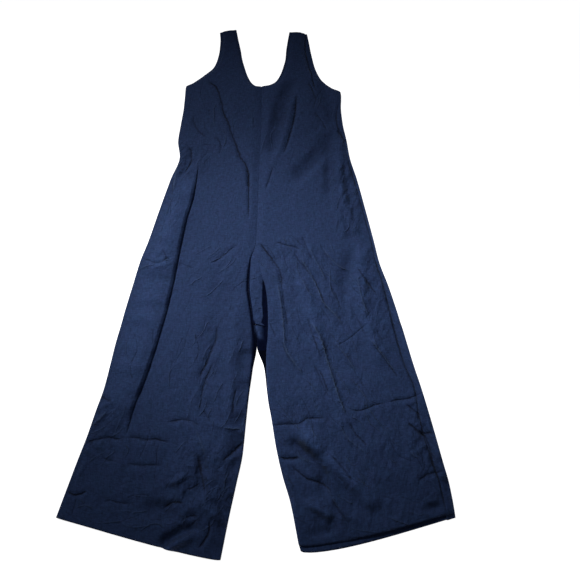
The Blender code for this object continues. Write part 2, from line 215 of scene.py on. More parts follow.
CREASES = creases(
    "right",
    # the long lap down the outer leg
    ("long lap", "roll", 9, 62, 5.4, [(-180, 240), *LONG_LAP, (-300, -458)]),
    ("lap line", "sharp", 2, 2, -2,
     [(-172, 236), *((x + 8, y) for x, y in LONG_LAP), (-292, -456)]),
    ("lap shade", "soft", 26, 9, -1.2,
     [(-168, 225), (-176, 130), (-196, 20), (-212, -100), (-236, -240), (-272, -372),
      (-290, -446)]),
    # the lines where the edges of the neck and the armholes are turned under
    ("neck edge", "sharp", 3, 3, -1.2,
     [(-92, 690), (-84, 655), (-76, 620), (-71, 590), (-64, 561), (-56, 535), (-45, 512),
      (-30, 500), (-12, 495)]),
) + creases(
    "left",
    ("neck edge", "sharp", 3, 3, -1.2,
     [(75, 685), (70, 655), (65.5, 620), (63.5, 591), (57.5, 562), (49.5, 536), (36, 512),
      (20, 502), (2, 495)]),
) + creases(
    "right",
    ("armhole edge", "sharp", 3, 3, -1,
     [(-134, 685), (-131, 655), (-132, 620), (-136, 592), (-145, 564), (-171, 537), (-203, 509),
      (-222, 497)]),
) + creases(
    "left",
    ("strap edge", "sharp", 4, 4, -2.8,
     [(119, 690), (118, 655), (117.5, 620), (122, 591), (128, 562), (135, 537), (139, 509),
      (146, 480)]),
) + creases(
    "right",
    ("side strip", "soft", 70, 46, 0.8,
     [(-196, 236), (-208, 170), (-226, 98), (-246, 20), (-262, -41), (-274, -104), (-288, -180),
      (-302, -260), (-320, -340), (-336, -400), (-350, -450)], 8),
    ("inner shade", "soft", 130, 40, -0.6,
     [(-22, -110), (-26, -200), (-32, -355), (-38, -485), (-58, -600), (-90, -770)], -10),
    # bust, ribs and waist
    ("dart", "tuck", 7, 8, -3,
     [(-166, 512), (-148, 498), (-136, 487), (-126, 458), (-118, 430), (-114, 405), (-97, 366),
      (-89, 337), (-73, 295), (-60, 258), (-47, 238), (-39, 214), (-37, 190), (-36, 160)]),
    ("dart end", "tuck", 5, 6, -2.2, [(-43, 230), (-38, 210), (-37, 190), (-35, 130), (-34, 70)]),
    ("dart swell", "soft", 30, 20, 1.6,
     [(-104, 480), (-88, 420), (-70, 360), (-46, 290), (-24, 236)]),
    ("bust swell", "soft", 34, 34, 1.5, [(-190, 470), (-170, 420), (-140, 360), (-104, 300)]),
    ("side pucker", "sharp", 7, 9, -1.5,
     [(-196, 398), (-194, 372), (-184, 350), (-168, 330), (-150, 318)]),
    ("side pucker", "soft", 12, 8, 1.3, [(-208, 388), (-204, 360), (-190, 338)]),
    ("rib pucker", "sharp", 5, 6, -1.1, [(-154, 414), (-151, 388)]),
    ("rib pucker", "sharp", 6, 6, -1.3, [(-131, 326), (-120, 306), (-115, 290), (-118, 262)]),
    ("rib line", "sharp", 4, 4, -0.9, [(-216, 299), (-202, 297), (-184, 298)]),
    ("rib line", "sharp", 4, 4, -0.9, [(-166, 296), (-154, 298), (-140, 294)]),
    ("waist hook", "tuck", 6, 7, -2.4,
     [(-209, 294), (-200, 287), (-194.5, 274), (-194, 246), (-202, 226), (-211, 206)]),
    ("waist shade", "soft", 14, 12, -3.2, [(-197, 268), (-202, 242), (-212, 212), (-218, 190)]),
    ("waist ridge", "sharp", 9, 8, 2.8, [(-219, 262), (-229, 220), (-232, 180), (-234, 150)]),
    ("waist line", "sharp", 4, 4, -1.6, [(-236, 192), (-237, 170), (-236, 146)]),
    # hip and thigh
    ("fork whisker", "tuck", 6, 6, -1.6,
     [(-60, 4), (-78, -10), (-94, -24), (-112, -40), (-128, -47)]),
    ("fork whisker", "soft", 10, 16, -1.2,
     [(-76, -8), (-98, -66), (-110, -110), (-124, -140), (-132, -160)]),
    ("thigh hollow", "soft", 60, 50, -0.8,
     [(-80, -60), (-98, -160), (-108, -260), (-112, -340), (-104, -440)], -3.5),
    ("hip line", "tuck", 5, 6, -1.5,
     [(-302, -32), (-280, -39), (-262, -46), (-246, -44), (-232, -34), (-222, -50)]),
    ("hip line", "sharp", 5, 5, -0.9, [(-206, -46), (-188, -52), (-162, -62)]),
    ("hip pucker", "sharp", 5, 5, -1.6, [(-248, -8), (-238, -28), (-230, -54)]),
    ("thigh crease", "tuck", 8, 8, -2.4,
     [(-102, -205), (-103, -238), (-113, -268), (-124, -298), (-141, -336)]),
    ("thigh crease", "tuck", 6, 7, -1.9,
     [(-106, -290), (-116, -318), (-126, -348), (-130, -380), (-131, -410)]),
    ("knee pleat", "soft", 9, 9, 1.8, [(-100, -330), (-96, -370), (-84, -410)]),
    ("inside leg pleat", "tuck", 5, 6, -2, [(-50, -352), (-56, -384), (-54, -412)]),
    # knee and shin
    ("knee line", "tuck", 6, 7, -1.7,
     [(-206, -426), (-186, -424), (-170, -421), (-146, -425), (-124, -438)]),
    ("knee swell", "soft", 10, 9, 1.9, [(-120, -424), (-96, -432), (-62, -436)]),
    ("knee ridge", "sharp", 6, 7, 2.4, [(-78, -438), (-56, -440), (-40, -441), (-31, -458)]),
    ("shin notch", "tuck", 8, 8, -3.4, [(-28, -468), (-42, -480), (-58, -494), (-78, -511)]),
    ("shin ridge", "soft", 9, 10, 2.2, [(-36, -488), (-52, -502), (-68, -512)]),
    ("outer notch", "tuck", 7, 8, -2.2, [(-362, -368), (-348, -376), (-332, -383)]),
    ("outer shade", "soft", 12, 10, -1.4, [(-344, -388), (-322, -398), (-298, -404)]),
    ("outer ridge", "sharp", 8, 8, 2.6, [(-371, -434), (-356, -420), (-340, -403)]),
    ("outer ridge", "soft", 9, 12, 2.2, [(-384, -476), (-368, -488), (-348, -500)]),
    ("outer ridge", "soft", 8, 9, 1.8, [(-370, -503), (-378, -520), (-386, -540)]),
    ("fold line", "tuck", 6, 7, -2.2,
     [(-384, -474), (-362, -465), (-347, -462), (-330, -459), (-312, -463), (-296, -458)]),
    ("fold line", "tuck", 6, 8, -2.3,
     [(-292, -458), (-268, -460), (-250, -464), (-226, -463), (-206, -467), (-188, -470)]),
    ("fold line", "sharp", 6, 7, -1.2, [(-342, -500), (-326, -506), (-308, -509)]),
    ("fold line", "sharp", 6, 9, -1.5, [(-284, -512), (-258, -517), (-236, -516), (-200, -517)]),
    ("fold line", "sharp", 5, 7, -1.4, [(-330, -591), (-312, -587), (-290, -592), (-260, -593)]),
    ("fold line", "tuck", 6, 7, -2.2, [(-196, -602), (-186, -595), (-174, -591), (-150, -592)]),
    ("shin swell", "soft", 15, 15, 1.5, [(-306, -492), (-300, -530), (-296, -580)]),
    ("crumple", "tuck", 8, 9, -2.8, [(-130, -494), (-124, -520), (-117, -546), (-110, -574)]),
    ("crumple", "soft", 9, 9, 2.8, [(-196, -556), (-172, -546), (-150, -530)]),
    ("crumple", "soft", 8, 10, 2.4, [(-164, -614), (-146, -604), (-128, -590)]),
    ("crumple", "sharp", 7, 8, -2, [(-150, -566), (-136, -562), (-122, -552)]),
    ("crumple", "soft", 11, 9, 2.4, [(-148, -560), (-136, -578), (-132, -600)]),
    ("crumple", "soft", 10, 13, 2.6, [(-116, -588), (-90, -612), (-58, -637)], 1.5),
    ("crumple", "soft", 16, 10, -2.6, [(-108, -586), (-84, -598), (-58, -621)], -2),
    ("crumple", "soft", 24, 18, -1.6, [(-132, -480), (-122, -530), (-114, -590)], -6),
    ("hem shade", "soft", 28, 28, -1.4,
     [(-256, -598), (-222, -604), (-190, -608), (-160, -616)], -7),
    ("crumple", "soft", 14, 12, 1.4, [(-188, -560), (-162, -542), (-136, -530)], 2.5),
    ("crumple", "soft", 10, 9, -1, [(-150, -584), (-134, -572), (-120, -556)], -2.5),
    ("crumple", "sharp", 6, 6, -1.6, [(-160, -628), (-140, -618), (-118, -618)]),
    ("knee diagonal", "sharp", 6, 7, 1.8, [(-140, -438), (-126, -466), (-112, -498)]),
    ("knee diagonal", "sharp", 6, 6, -1.6, [(-126, -398), (-114, -414), (-103, -430)]),
    # hem
    ("hem hook", "soft", 22, 9, -3.4,
     [(-206, -682), (-182, -665), (-156, -650), (-132, -643), (-112, -640)], -7.5),
    ("hem hook", "soft", 9, 16, 3.6, [(-202, -692), (-178, -676), (-152, -662), (-124, -652)], 4),
    ("hem hook", "sharp", 7, 8, -2.6, [(-98, -624), (-97, -646), (-106, -664), (-120, -680)]),
    ("hem seam fold", "tuck", 5, 6, -2.4, [(-408, -568), (-388, -577), (-362, -568)]),
    ("hem seam", "sharp", 2.5, 2.5, -1.3, [(-384, -580), (-387, -600), (-389, -616)]),
    ("hem seam pucker", "sharp", 4, 4, 1.2, [(-376, -580), (-366, -594)]),
) + creases(
    "left",
    # bust and ribs
    ("dart", "tuck", 6, 8, -2.9,
     [(91, 466), (90, 440), (87, 400), (82, 370), (76, 343), (66, 305), (54, 264)]),
    ("dart end", "tuck", 4, 5, -1.6, [(28, 230), (20, 200), (8, 158)]),
    ("bust shade", "soft", 24, 36, -3.6,
     [(92, 526), (79, 496), (66, 464), (55, 424), (46, 380), (37, 340), (28, 300), (19, 252)], -7),
    ("dart swell", "soft", 14, 14, 1.5, [(74, 440), (66, 390), (52, 320), (34, 262), (22, 220)]),
    ("armhole shade", "soft", 24, 34, -3.2,
     [(146, 524), (162, 500), (174, 466), (184, 430), (192, 390), (192, 346)], -3),
    ("armhole line", "sharp", 5, 5, -2, [(124, 508), (134, 486), (142, 462), (148, 440)]),
    ("bust swell", "soft", 34, 34, 2.2, [(112, 500), (118, 440), (122, 380), (112, 330)]),
    ("rib crease", "sharp", 5, 6, -1.7, [(140, 404), (152, 388), (164, 368), (176, 338)]),
    ("rib shade", "soft", 26, 40, -3.2,
     [(196, 344), (172, 296), (142, 252), (104, 206), (64, 168)], -5),
    ("waist shade", "soft", 17, 24, -1.5, [(178, 312), (179, 250), (178, 190), (177, 130)], -4),
    ("waist swell", "soft", 11, 10, 1.5, [(184, 250), (194, 216), (200, 170)]),
    ("side slit", "tuck", 5, 5, -2.8, [(202, 348), (214, 326), (230, 300)]),
    ("side pucker", "soft", 7, 7, 2, [(194, 336), (206, 312), (220, 292)]),
    ("side ridge", "soft", 8, 7, 1.9, [(178, 272), (192, 240), (206, 208)]),
    ("side ridge", "soft", 7, 6, 1.8, [(226, 238), (228, 212), (232, 186)]),
    ("side ridge", "soft", 8, 7, 1.8, [(234, 128), (230, 96), (226, 56)]),
    ("pocket shade", "soft", 18, 26, -2.6,
     [(224, 210), (230, 150), (232, 96), (230, 40), (230, 0)], -2.5),
    ("pocket shade", "soft", 16, 36, -2.8,
     [(236, 0), (224, -50), (211, -102), (205, -153), (210, -220)], -3.5),
    ("pocket roll", "soft", 26, 30, 1.5,
     [(254, 14), (250, -50), (248, -110), (252, -165), (268, -230), (290, -310)], 5),
    ("waist roll", "soft", 16, 18, 1,
     [(208, 310), (205, 240), (207, 180), (215, 130), (228, 80), (246, 26)], 5),
    # the seam down the outer side, and the paler strip outside it
    ("side seam", "sharp", 4, 4, -1.9,
     [(212, 440), (202.5, 400), (203, 369), (210, 340), (220, 312), (226, 262), (242, 192),
      (262, 98), (278.5, 12), (287, -41), (302, -104), (313.5, -168), (320, -205), (328, -247),
      (339, -296), (358, -351), (363, -404), (371, -456), (384, -506), (397, -555), (403, -606)]),
    ("side strip", "soft", 16, 16, 1,
     [(228, 330), (236, 270), (252, 200), (271, 100), (288, 12), (298, -41), (315, -104),
      (329, -168), (342, -230), (358, -296), (372, -351), (383, -404), (393, -456), (403, -506),
      (413, -555)], 6),
    # fork and thigh
    ("fork fold", "tuck", 7, 7, -2.4,
     [(-8, 14), (8, -8), (26, -32), (44, -60), (52, -86), (54, -110)]),
    ("fork fold", "tuck", 5, 6, -1.5, [(34, 14), (60, 3), (82, -2), (104, -10)]),
    ("thigh crease", "tuck", 6, 7, -1.5, [(102, 34), (114, -2), (132, -46)]),
    ("thigh crease", "tuck", 6, 8, -1.5,
     [(78, -14), (108, -58), (134, -94), (154, -142), (166, -180)]),
    ("thigh crease", "tuck", 6, 7, -1.2, [(147, 8), (160, -18), (172, -45), (188, -60)]),
    ("thigh ridge", "sharp", 6, 7, 3,
     [(96, -28), (117, -64), (137, -104), (153, -147), (181, -178), (202, -208)]),
    ("thigh ridge", "sharp", 6, 7, 2.4, [(120, 0), (134, -34), (150, -66), (162, -98)]),
    ("thigh ridge", "sharp", 7, 7, 2.6,
     [(42, -100), (52, -160), (58, -220), (62, -262), (86, -297), (104, -326)]),
    ("thigh ridge", "sharp", 5, 6, 2.2, [(156, -6), (176, -36), (196, -56), (222, -66)]),
    ("thigh ridge", "sharp", 5, 6, 2.4, [(176, -240), (196, -268), (212, -290), (226, -318)]),
    ("outer ridge", "sharp", 5, 6, 2.6, [(258, -232), (280, -262), (300, -290), (320, -322)]),
    ("outer ridge", "sharp", 6, 7, 2.2, [(238, -70), (242, -110), (250, -150), (264, -186)]),
    ("thigh crease", "tuck", 6, 7, -1.1, [(40, -66), (54, -112), (60, -160), (70, -214)]),
    ("thigh crease", "tuck", 6, 8, -1.7, [(114, -182), (126, -226), (138, -260), (150, -292)]),
    ("thigh ridge", "sharp", 7, 9, 4,
     [(120, -194), (143, -232), (162, -297), (173, -336), (187, -382), (200, -414)]),
    ("thigh crease", "tuck", 6, 7, -1.1, [(50, -236), (66, -276), (90, -316)]),
    ("thigh crease", "tuck", 6, 8, -1.6, [(124, -288), (140, -322), (152, -352), (166, -378)]),
    ("thigh crease", "tuck", 6, 6, -1.1, [(212, -140), (236, -190), (256, -240)]),
    ("thigh crease", "tuck", 5, 7, -1.1, [(166, -90), (186, -130), (200, -176)]),
    ("thigh swell", "soft", 30, 26, 0.8, [(88, -60), (112, -130), (134, -210), (152, -290)], 5),
    ("knee swell", "soft", 16, 22, 1, [(150, -300), (166, -350), (182, -400), (206, -446)], 3),
    ("press line", "sharp", 2.5, 3, -1.4, [(176, -258), (214, -236), (260, -197)]),
    ("outer crumple", "tuck", 7, 8, -2.2, [(238, -56), (262, -92), (288, -134)]),
    ("outer crumple", "soft", 8, 8, 1.8, [(262, -66), (284, -100), (306, -150)]),
    ("outer crumple", "tuck", 6, 6, -1.6, [(268, -250), (297, -291), (326, -332)]),
    ("outer crumple", "soft", 7, 7, 1.5, [(284, -246), (312, -290), (336, -326)]),
    # knee
    ("press line", "tuck", 5, 6, -1.9,
     [(30, -434), (62, -431), (94, -430), (108, -420), (130, -418), (156, -419)]),
    ("press line", "tuck", 5, 6, -1.5,
     [(200, -394), (222, -402), (244, -398), (270, -388), (296, -384)]),
    ("press line", "tuck", 5, 6, -1.9, [(292, -383), (320, -378), (346, -374), (376, -361)]),
    ("knee shade", "tuck", 6, 8, -2.2, [(141, -308), (152, -336), (162, -366)]),
    ("knee ridge", "sharp", 6, 6, 1.9, [(180, -418), (194, -452), (216, -474), (246, -494)]),
    ("knee shade", "sharp", 7, 7, -1.7, [(206, -424), (220, -452), (246, -478)]),
    ("outer pleat", "tuck", 7, 7, -2.4, [(336, -386), (350, -398), (368, -412)]),
    ("outer pleat", "tuck", 8, 10, -3.2, [(336, -426), (352, -440), (368, -452), (396, -446)]),
    ("outer pleat", "tuck", 6, 7, -2.4, [(350, -550), (372, -536), (412, -528)]),
    ("outer shade", "soft", 16, 12, -2.4, [(350, -600), (372, -603), (402, -596)], -6),
    ("hem corner", "soft", 11, 12, -1.6, [(380, -626), (402, -622), (428, -617)], -8),
    ("hem shade", "soft", 20, 12, -1.2, [(104, -652), (140, -650), (180, -640)], -4),
    ("outer ridge", "soft", 8, 8, 2, [(408, -566), (414, -590), (419, -612)]),
    ("seam pleat", "tuck", 6, 5, -2.2, [(356, -440), (376, -462), (384, -500), (386, -530)]),
    # shin
    ("shin ridge", "soft", 32, 28, 4.2,
     [(80, -428), (108, -456), (140, -486), (162, -507), (184, -528), (205, -548), (232, -574),
      (268, -606)], 8),
    ("shin ridge", "soft", 15, 15, 2, [(104, -586), (137, -605), (168, -626)], 6),
    ("shin shade", "soft", 20, 20, -2.2,
     [(66, -458), (94, -484), (118, -506), (140, -530), (148, -554), (156, -582)], -6.5),
    ("shin crease", "sharp", 6, 6, -1.7, [(160, -492), (186, -520), (212, -554)]),
    ("shin notch", "tuck", 7, 8, -3.4, [(48, -499), (62, -503), (78, -503), (96, -500)]),
    ("shin crease", "tuck", 6, 7, -2.2,
     [(70, -512), (96, -534), (116, -546), (146, -556), (168, -576)]),
    ("shin crease", "sharp", 8, 8, -2, [(160, -584), (178, -608), (200, -634)]),
    ("hem ridge", "soft", 12, 9, 2.6, [(126, -580), (148, -606), (172, -622), (200, -634)]),
    ("hem shade", "soft", 16, 14, -2, [(108, -626), (140, -636), (170, -646)]),
    ("inside leg crease", "sharp", 6, 6, 1.4, [(62, -530), (78, -572), (92, -612)]),
)

# Patches of seeded wrinkles: heading is the way they run, in degrees from +X, and along and
# across are their usual length and width. lines is how many fine creases lie scattered there.
Patch = namedtuple("Patch", "place half x y reach_x reach_y heading along across rise lines")

PATCHES = [Patch(*row) for row in (
    ("bodice", "right", -120, 380, 120, 130, 95, 46, 22, 0.2, 16),
    ("waist", "right", -196, 256, 52, 60, 60, 26, 11, 0.5, 12),
    ("side", "right", -240, 120, 32, 120, 78, 32, 12, 0.4, 12),
    ("hip", "right", -258, -38, 52, 34, 20, 26, 11, 0.5, 10),
    ("thigh", "right", -100, -60, 90, 60, 45, 40, 16, 0.25, 12),
    ("thigh", "right", -110, -230, 80, 120, 68, 56, 17, 0.22, 14),
    ("knee", "right", -90, -380, 80, 60, 70, 36, 14, 0.32, 14),
    ("outer shin", "right", -350, -440, 50, 70, 40, 28, 12, 0.5, 16),
    ("inner shin", "right", -120, -560, 86, 100, 48, 24, 12, 0.95, 42),
    ("hem", "right", -270, -600, 130, 60, 8, 38, 13, 0.35, 22),
    ("leg", "right", -230, -400, 160, 200, 88, 50, 19, 0.2, 20),
    ("bodice", "left", 110, 370, 120, 130, 80, 46, 20, 0.22, 10),
    ("side", "left", 222, 180, 40, 170, 74, 28, 11, 0.65, 30),
    ("fork", "left", 90, -40, 110, 70, -50, 48, 14, 0.36, 14),
    ("thigh", "left", 140, -190, 130, 130, -63, 84, 14, 0.4, 30),
    ("outer thigh", "left", 280, -130, 60, 150, -58, 32, 11, 0.62, 26),
    ("knee", "left", 180, -390, 170, 80, -58, 60, 13, 0.44, 30),
    ("shin", "left", 200, -500, 170, 90, -42, 40, 14, 0.5, 28),
    ("outer shin", "left", 370, -470, 50, 120, -60, 22, 10, 0.9, 24),
    ("hem", "left", 220, -620, 180, 50, -15, 34, 13, 0.5, 18),
    ("fork tongue", "left", -10, -120, 20, 90, 10, 14, 9, 0.4, 6),
)]

# The sharp line of a crease is finer than the mesh, so it is kept as a distance and a strength
# at each point and drawn by the cloth's material, as a bump, as painted shade in its trough and
# as a painted highlight on its ridge. Lines near one another keep to other layers.
LAYERS = 6
LINE_REACH = 8.0  # how far from its line a crease has any strength
LINE_SPACE = 21.0  # least space between two lines of one layer
LINE_RISE = 2.6  # the height of a crease whose line has a strength of 1
FAR = 99.0  # stands for no line near by
BROAD = 1.3  # how much wider than its line's own width the mesh's part of a crease is
BROAD_SHARE = 0.6  # how much of its height is in the mesh
MOST_LINE = 0.85  # how far a fine line can change the colour of the yarn at most
EVEN_ENDS = 0.2  # share of a crease over which it dies out at each end
LONG_END = 22.0  # where the crease is long, it dies out over this length
WIDE_END = 1.4  # and where it is wide, over this many of its widths
WANDER = 24.0  # length over which the strength of a crease wanders
TUCK_REACH = 2.7  # how many of its widths a tuck reaches with its shoulders

# At the slit under the fork the cloth of the left leg hangs over the tongue. high is the width
# over which it comes back to the level of the rest.
FORK_SLIT = [(-5, -36), (-1, -60), (6, -84), (12.5, -104), (16.5, -126), (19.5, -153),
             (21, -181), (21.3, -212), (20.6, -240), (18.6, -262), (18.5, -296), (21.5, -351),
             (31.5, -410)]
LAP = SimpleNamespace(run=4.0, rise=4.5, over=7.0, high=60.0)

# Where the cloth lies turned under and open beside the slits at the fork, it is lowered and
# painted with shade: Y, and how wide it is there from the inner edge of the right half, of
# the tongue, and of the left leg
DARK_Y, *DARK_WIDTHS = np.array([
    (40, 0, 0, 0),
    (-8, 0, 0, 0),
    (-30, 1.6, 1.2, 0),
    (-60, 3.2, 2.6, 0),
    (-84, 4.2, 3.6, 2),
    (-100, 4.2, 3.6, 7),
    (-124, 3.6, 3.2, 12),
    (-153, 3.2, 3, 15),
    (-181, 3.4, 3.6, 13.5),
    (-198, 4.2, 5, 18),
    (-207, 5, 6, 6),
    (-250, 6.5, 0, 6),
    (-300, 5, 0, 2),
    (-380, 2.4, 0, 1.2),
    (-450, 0.6, 0, 0.4),
    (-720, 0.4, 0, 0.4),
]).T
DARK_LEAST = 0.3  # a narrower dark than this isn't drawn

# A line down each half that one column of its front follows, and how many columns lie between
# it and the middle: the long lap on the right half, the slit under the fork on the left
FOLLOWED = {
    "right": (62, [(-118, 740), (-122, 680), (-126, 600), (-150, 535), (-172, 480), (-186, 400),
                   (-190, 320), (-182, 250), *LONG_LAP, (-306, -480), (-322, -560),
                   (-340, -640), (-352, -720)]),
    "left": (20, [(82, 740), (82, 680), (76, 600), (58, 540), (36, 500), (22, 460), (18, 400),
                  (16, 300), (14, 120), (4, 20), *FORK_SLIT, (42, -479), (74, -592),
                  (104, -740)]),
}

# Lines of each half along which the columns stand closer: path, gain and band
GUIDES = {
    "right": [
        ([(-180, 240), (-188, 130), (-206, 30), (-220, -90), (-242, -222), (-276, -358),
          (-300, -458)], 2.6, 12.0),
        ([(-136, 487), (-100, 369), (-62, 268), (-38, 189), (-34, 70)], 1.6, 9.0),
    ],
    "left": [
        ([(-5, -20), (4, -128), (14, -212)], 3.0, 12.0),
        ([(91, 466), (76, 343), (54, 264)], 1.6, 9.0),
    ],
}


def smooth(x):
    x = np.clip(x, 0.0, 1.0)
    return x * x * (3.0 - 2.0 * x)


def mix(a, b, t):
    return a + (b - a) * t


def bell(x):
    return np.exp(-x * x)


# ---------------------------------------------------------------- seeded unevenness


def noise(x, y, seed):
    """Smooth noise from -1 to 1 with about one bump to a unit."""
    size = 64
    table = np.random.default_rng(seed).uniform(-1.0, 1.0, (size, size))
    x0, y0 = np.floor(x).astype(int), np.floor(y).astype(int)
    fx, fy = x - x0, y - y0
    u = fx**3 * (fx * (6.0 * fx - 15.0) + 10.0)
    v = fy**3 * (fy * (6.0 * fy - 15.0) + 10.0)
    x1, y1 = (x0 + 1) % size, (y0 + 1) % size
    x0, y0 = x0 % size, y0 % size
    return mix(mix(table[x0, y0], table[x1, y0], u), mix(table[x0, y1], table[x1, y1], u), v)


def within(patch, x, y, edge, ease):
    """1 inside a patch, falling to 0 at the given share of its reach."""
    reach = np.hypot((x - patch.x) / patch.reach_x, (y - patch.y) / patch.reach_y)
    return smooth((edge - reach) / ease)


def wrinkles(x, y, patch, seed):
    """Height of one patch of wrinkles: sharp valleys and rounder ridges, all along a heading."""
    turn = math.radians(patch.heading)
    a = (x * math.cos(turn) + y * math.sin(turn)) / patch.along
    b = (y * math.cos(turn) - x * math.sin(turn)) / patch.across
    bend = 0.7 * noise(a * 0.9, b * 0.35, seed + 1)
    wide = noise(a, b + bend, seed)
    cuts = (1.0 - np.abs(noise(a * 0.8 + 3.0, b * 0.9 + bend, seed + 3))) ** 4
    return within(patch, x, y, 1.25, 0.7) * patch.rise * (0.9 * wide - 0.7 * cuts)


# ---------------------------------------------------------------- paths over the cloth


def curve_through(points, steps=6):
    """A smooth chain of points through the given ones."""
    p = np.array([points[0], *points, points[-1]], float)
    t = np.linspace(0.0, 1.0, steps, endpoint=False)[:, None]
    chain = [
        0.5 * (2 * b + (c - a) * t + (2 * a - 5 * b + 4 * c - d) * t**2
               + (3 * b - 3 * c + d - a) * t**3)
        for a, b, c, d in zip(p, p[1:], p[2:], p[3:])
    ]
    return np.vstack([*chain, p[-1:]])


def beside(x, y, path):
    """Signed distance from points to a path, + on its left, the share of it passed, and the
    way to its left there."""
    form = x.shape
    x, y = x.ravel(), y.ravel()
    a = path[:-1]
    run = path[1:] - a
    length = np.hypot(run[:, 0], run[:, 1])
    passed = np.concatenate([[0.0], np.cumsum(length)])
    px, py = x[:, None] - a[:, 0], y[:, None] - a[:, 1]
    t = np.clip((px * run[:, 0] + py * run[:, 1]) / length**2, 0.0, 1.0)
    dx, dy = px - t * run[:, 0], py - t * run[:, 1]
    away = np.hypot(dx, dy)
    near = away.argmin(1)
    rows = np.arange(len(x))
    side = np.sign(run[near, 0] * dy[rows, near] - run[near, 1] * dx[rows, near])
    share = (passed[near] + t[rows, near] * length[near]) / passed[-1]
    left = [-run[near, 1] / length[near], run[near, 0] / length[near]]
    return [field.reshape(form) for field in (away[rows, near] * side, share, *left)]


def across(shape, narrow, wide, distance, left_is_narrow):
    """Profile of a crease of height 1 at signed distances from its line."""
    on_narrow = (distance > 0) == left_is_narrow
    s = np.abs(distance) / np.where(on_narrow, narrow, wide)
    if shape in ("sharp", "tuck"):
        s = s / BROAD
    inside = np.minimum(s, 1.0)
    gentle = np.cos(inside * math.pi / 2) ** 2
    if shape == "soft":
        return gentle
    if shape == "sharp":
        return BROAD_SHARE * gentle
    if shape == "tuck":
        shoulders = np.cos(np.clip((s - 1.5) / 1.1, -1.0, 1.0) * math.pi / 2) ** 2
        return BROAD_SHARE * (gentle - 0.16 * shoulders)
    return np.where(on_narrow, (1.0 - inside) ** 0.72, gentle)


def crease_height(half, x, y, size="rise"):
    """Height, or lean, that all the creases of one half add at points of its front."""
    total = np.zeros_like(x)
    for number, crease in enumerate(CREASES):
        height = getattr(crease, size)
        if crease.half != half or not height:
            continue
        path = curve_through(crease.points)
        narrow, wide = sorted((crease.left, crease.right))
        reach = wide * BROAD * (TUCK_REACH if crease.shape == "tuck" else 1.0)
        near = close_to(x, y, path, reach)
        if not near.any():
            continue
        distance, share, *_ = beside(x[near], y[near], path)
        shape = across(crease.shape, narrow, wide, distance, crease.left <= crease.right)
        total[near] += height * shape * uneven(share, path, CREASE_SEED + number, wide)
    return total


def close_to(x, y, path, reach):
    """Which points lie in the box round a path."""
    low, high = path.min(0) - reach, path.max(0) + reach
    return (x > low[0]) & (x < high[0]) & (y > low[1]) & (y < high[1])


def uneven(share, path, seed, width=0.0):
    """Strength along a crease: it wanders, and dies out at both ends."""
    length = np.hypot(*np.diff(path, axis=0).T).sum()
    end = min(max(min(EVEN_ENDS * length, LONG_END), WIDE_END * width), 0.5 * length)
    ends = smooth(share * length / end) * smooth((1.0 - share) * length / end)
    return ends * (1.0 + 0.28 * noise(share * length / WANDER, 0 * share, seed))


def stray_lines(half):
    """Seeded fine creases of the patches of one half: path, half-width and strength."""
    lines = []
    for number, patch in enumerate(PATCHES):
        luck = np.random.default_rng(STRAY_SEED + number)
        for _ in range(patch.lines if patch.half == half else 0):
            way, far = luck.uniform(0, 2 * math.pi), math.sqrt(luck.uniform())
            middle_x = patch.x + patch.reach_x * far * math.cos(way)
            middle_y = patch.y + patch.reach_y * far * math.sin(way)
            turn = math.radians(patch.heading + luck.normal(0, 8.0))
            length = patch.along * luck.uniform(0.6, 2.1)
            along = np.linspace(-0.5, 0.5, 5)
            aside = luck.normal(0, 0.09) * (1 - 4 * along**2) + luck.normal(0, 0.018, 5)
            points = np.stack([
                middle_x + length * (along * math.cos(turn) - aside * math.sin(turn)),
                middle_y + length * (along * math.sin(turn) + aside * math.cos(turn)),
            ], 1)
            trough = luck.uniform() < 0.42
            strength = -luck.uniform(0.12, 0.45) if trough else luck.uniform(0.2, 0.8)
            lines.append((curve_through(points.tolist(), 3), luck.uniform(1.3, 2.3), strength))
    return lines


def least_space(path, others):
    """Least distance between the points of a path and others."""
    if not len(others):
        return math.inf
    return np.hypot(*(path[:, None] - others[None]).transpose(2, 0, 1)).min()


def line_layers(half, x, y):
    """Signed distance to the nearest line of each layer, in half-widths, and its strength."""
    placed = [
        (curve_through(c.points, 4), 0.3 + 0.5 * min(c.left, c.right), c.rise / LINE_RISE)
        for c in CREASES if c.half == half and c.shape in ("sharp", "tuck")
    ]
    placed.sort(key=lambda line: -abs(line[2]))
    form = (LAYERS, *x.shape)
    x, y = x.ravel(), y.ravel()
    reached = np.full((LAYERS, len(x)), FAR)  # unsigned distance
    signed = np.full((LAYERS, len(x)), FAR)
    strength = np.zeros((LAYERS, len(x)))
    taken = [np.zeros((0, 2)) for _ in range(LAYERS)]
    for number, (path, width, rise) in enumerate(placed + stray_lines(half)):
        space = [least_space(path, others) for others in taken]
        layer = int(np.argmax(space))
        if space[layer] < LINE_SPACE and number >= len(placed):
            continue
        near = np.flatnonzero(close_to(x, y, path, 2.5 * LINE_REACH))
        if not len(near):
            continue
        distance, share, *_ = beside(x[near], y[near], path)
        nearer = np.abs(distance) < reached[layer, near]
        near, distance, share = near[nearer], distance[nearer], share[nearer]
        reached[layer, near] = np.abs(distance)
        signed[layer, near] = distance / width
        force = rise * uneven(share, path, LINE_SEED + number)
        strength[layer, near] = np.where(np.abs(distance) < LINE_REACH, force, 0.0)
        dense = np.concatenate([path, (path[1:] + path[:-1]) / 2])
        taken[layer] = np.concatenate([taken[layer], dense])
    return signed.reshape(form), strength.reshape(form)


# ---------------------------------------------------------------- the two halves


def stations(sections):
    """How far down the half each section lies, measured along the mean of its two edges."""
    places = [0.0]
    for a, b in zip(sections, sections[1:]):
        outer = math.hypot(b.outer_x - a.outer_x, b.outer_y - a.outer_y)
        inner = math.hypot(b.back_in_x - a.back_in_x, b.in_y - a.in_y)
        places.append(places[-1] + (outer + inner) / 2)
    return np.array(places)


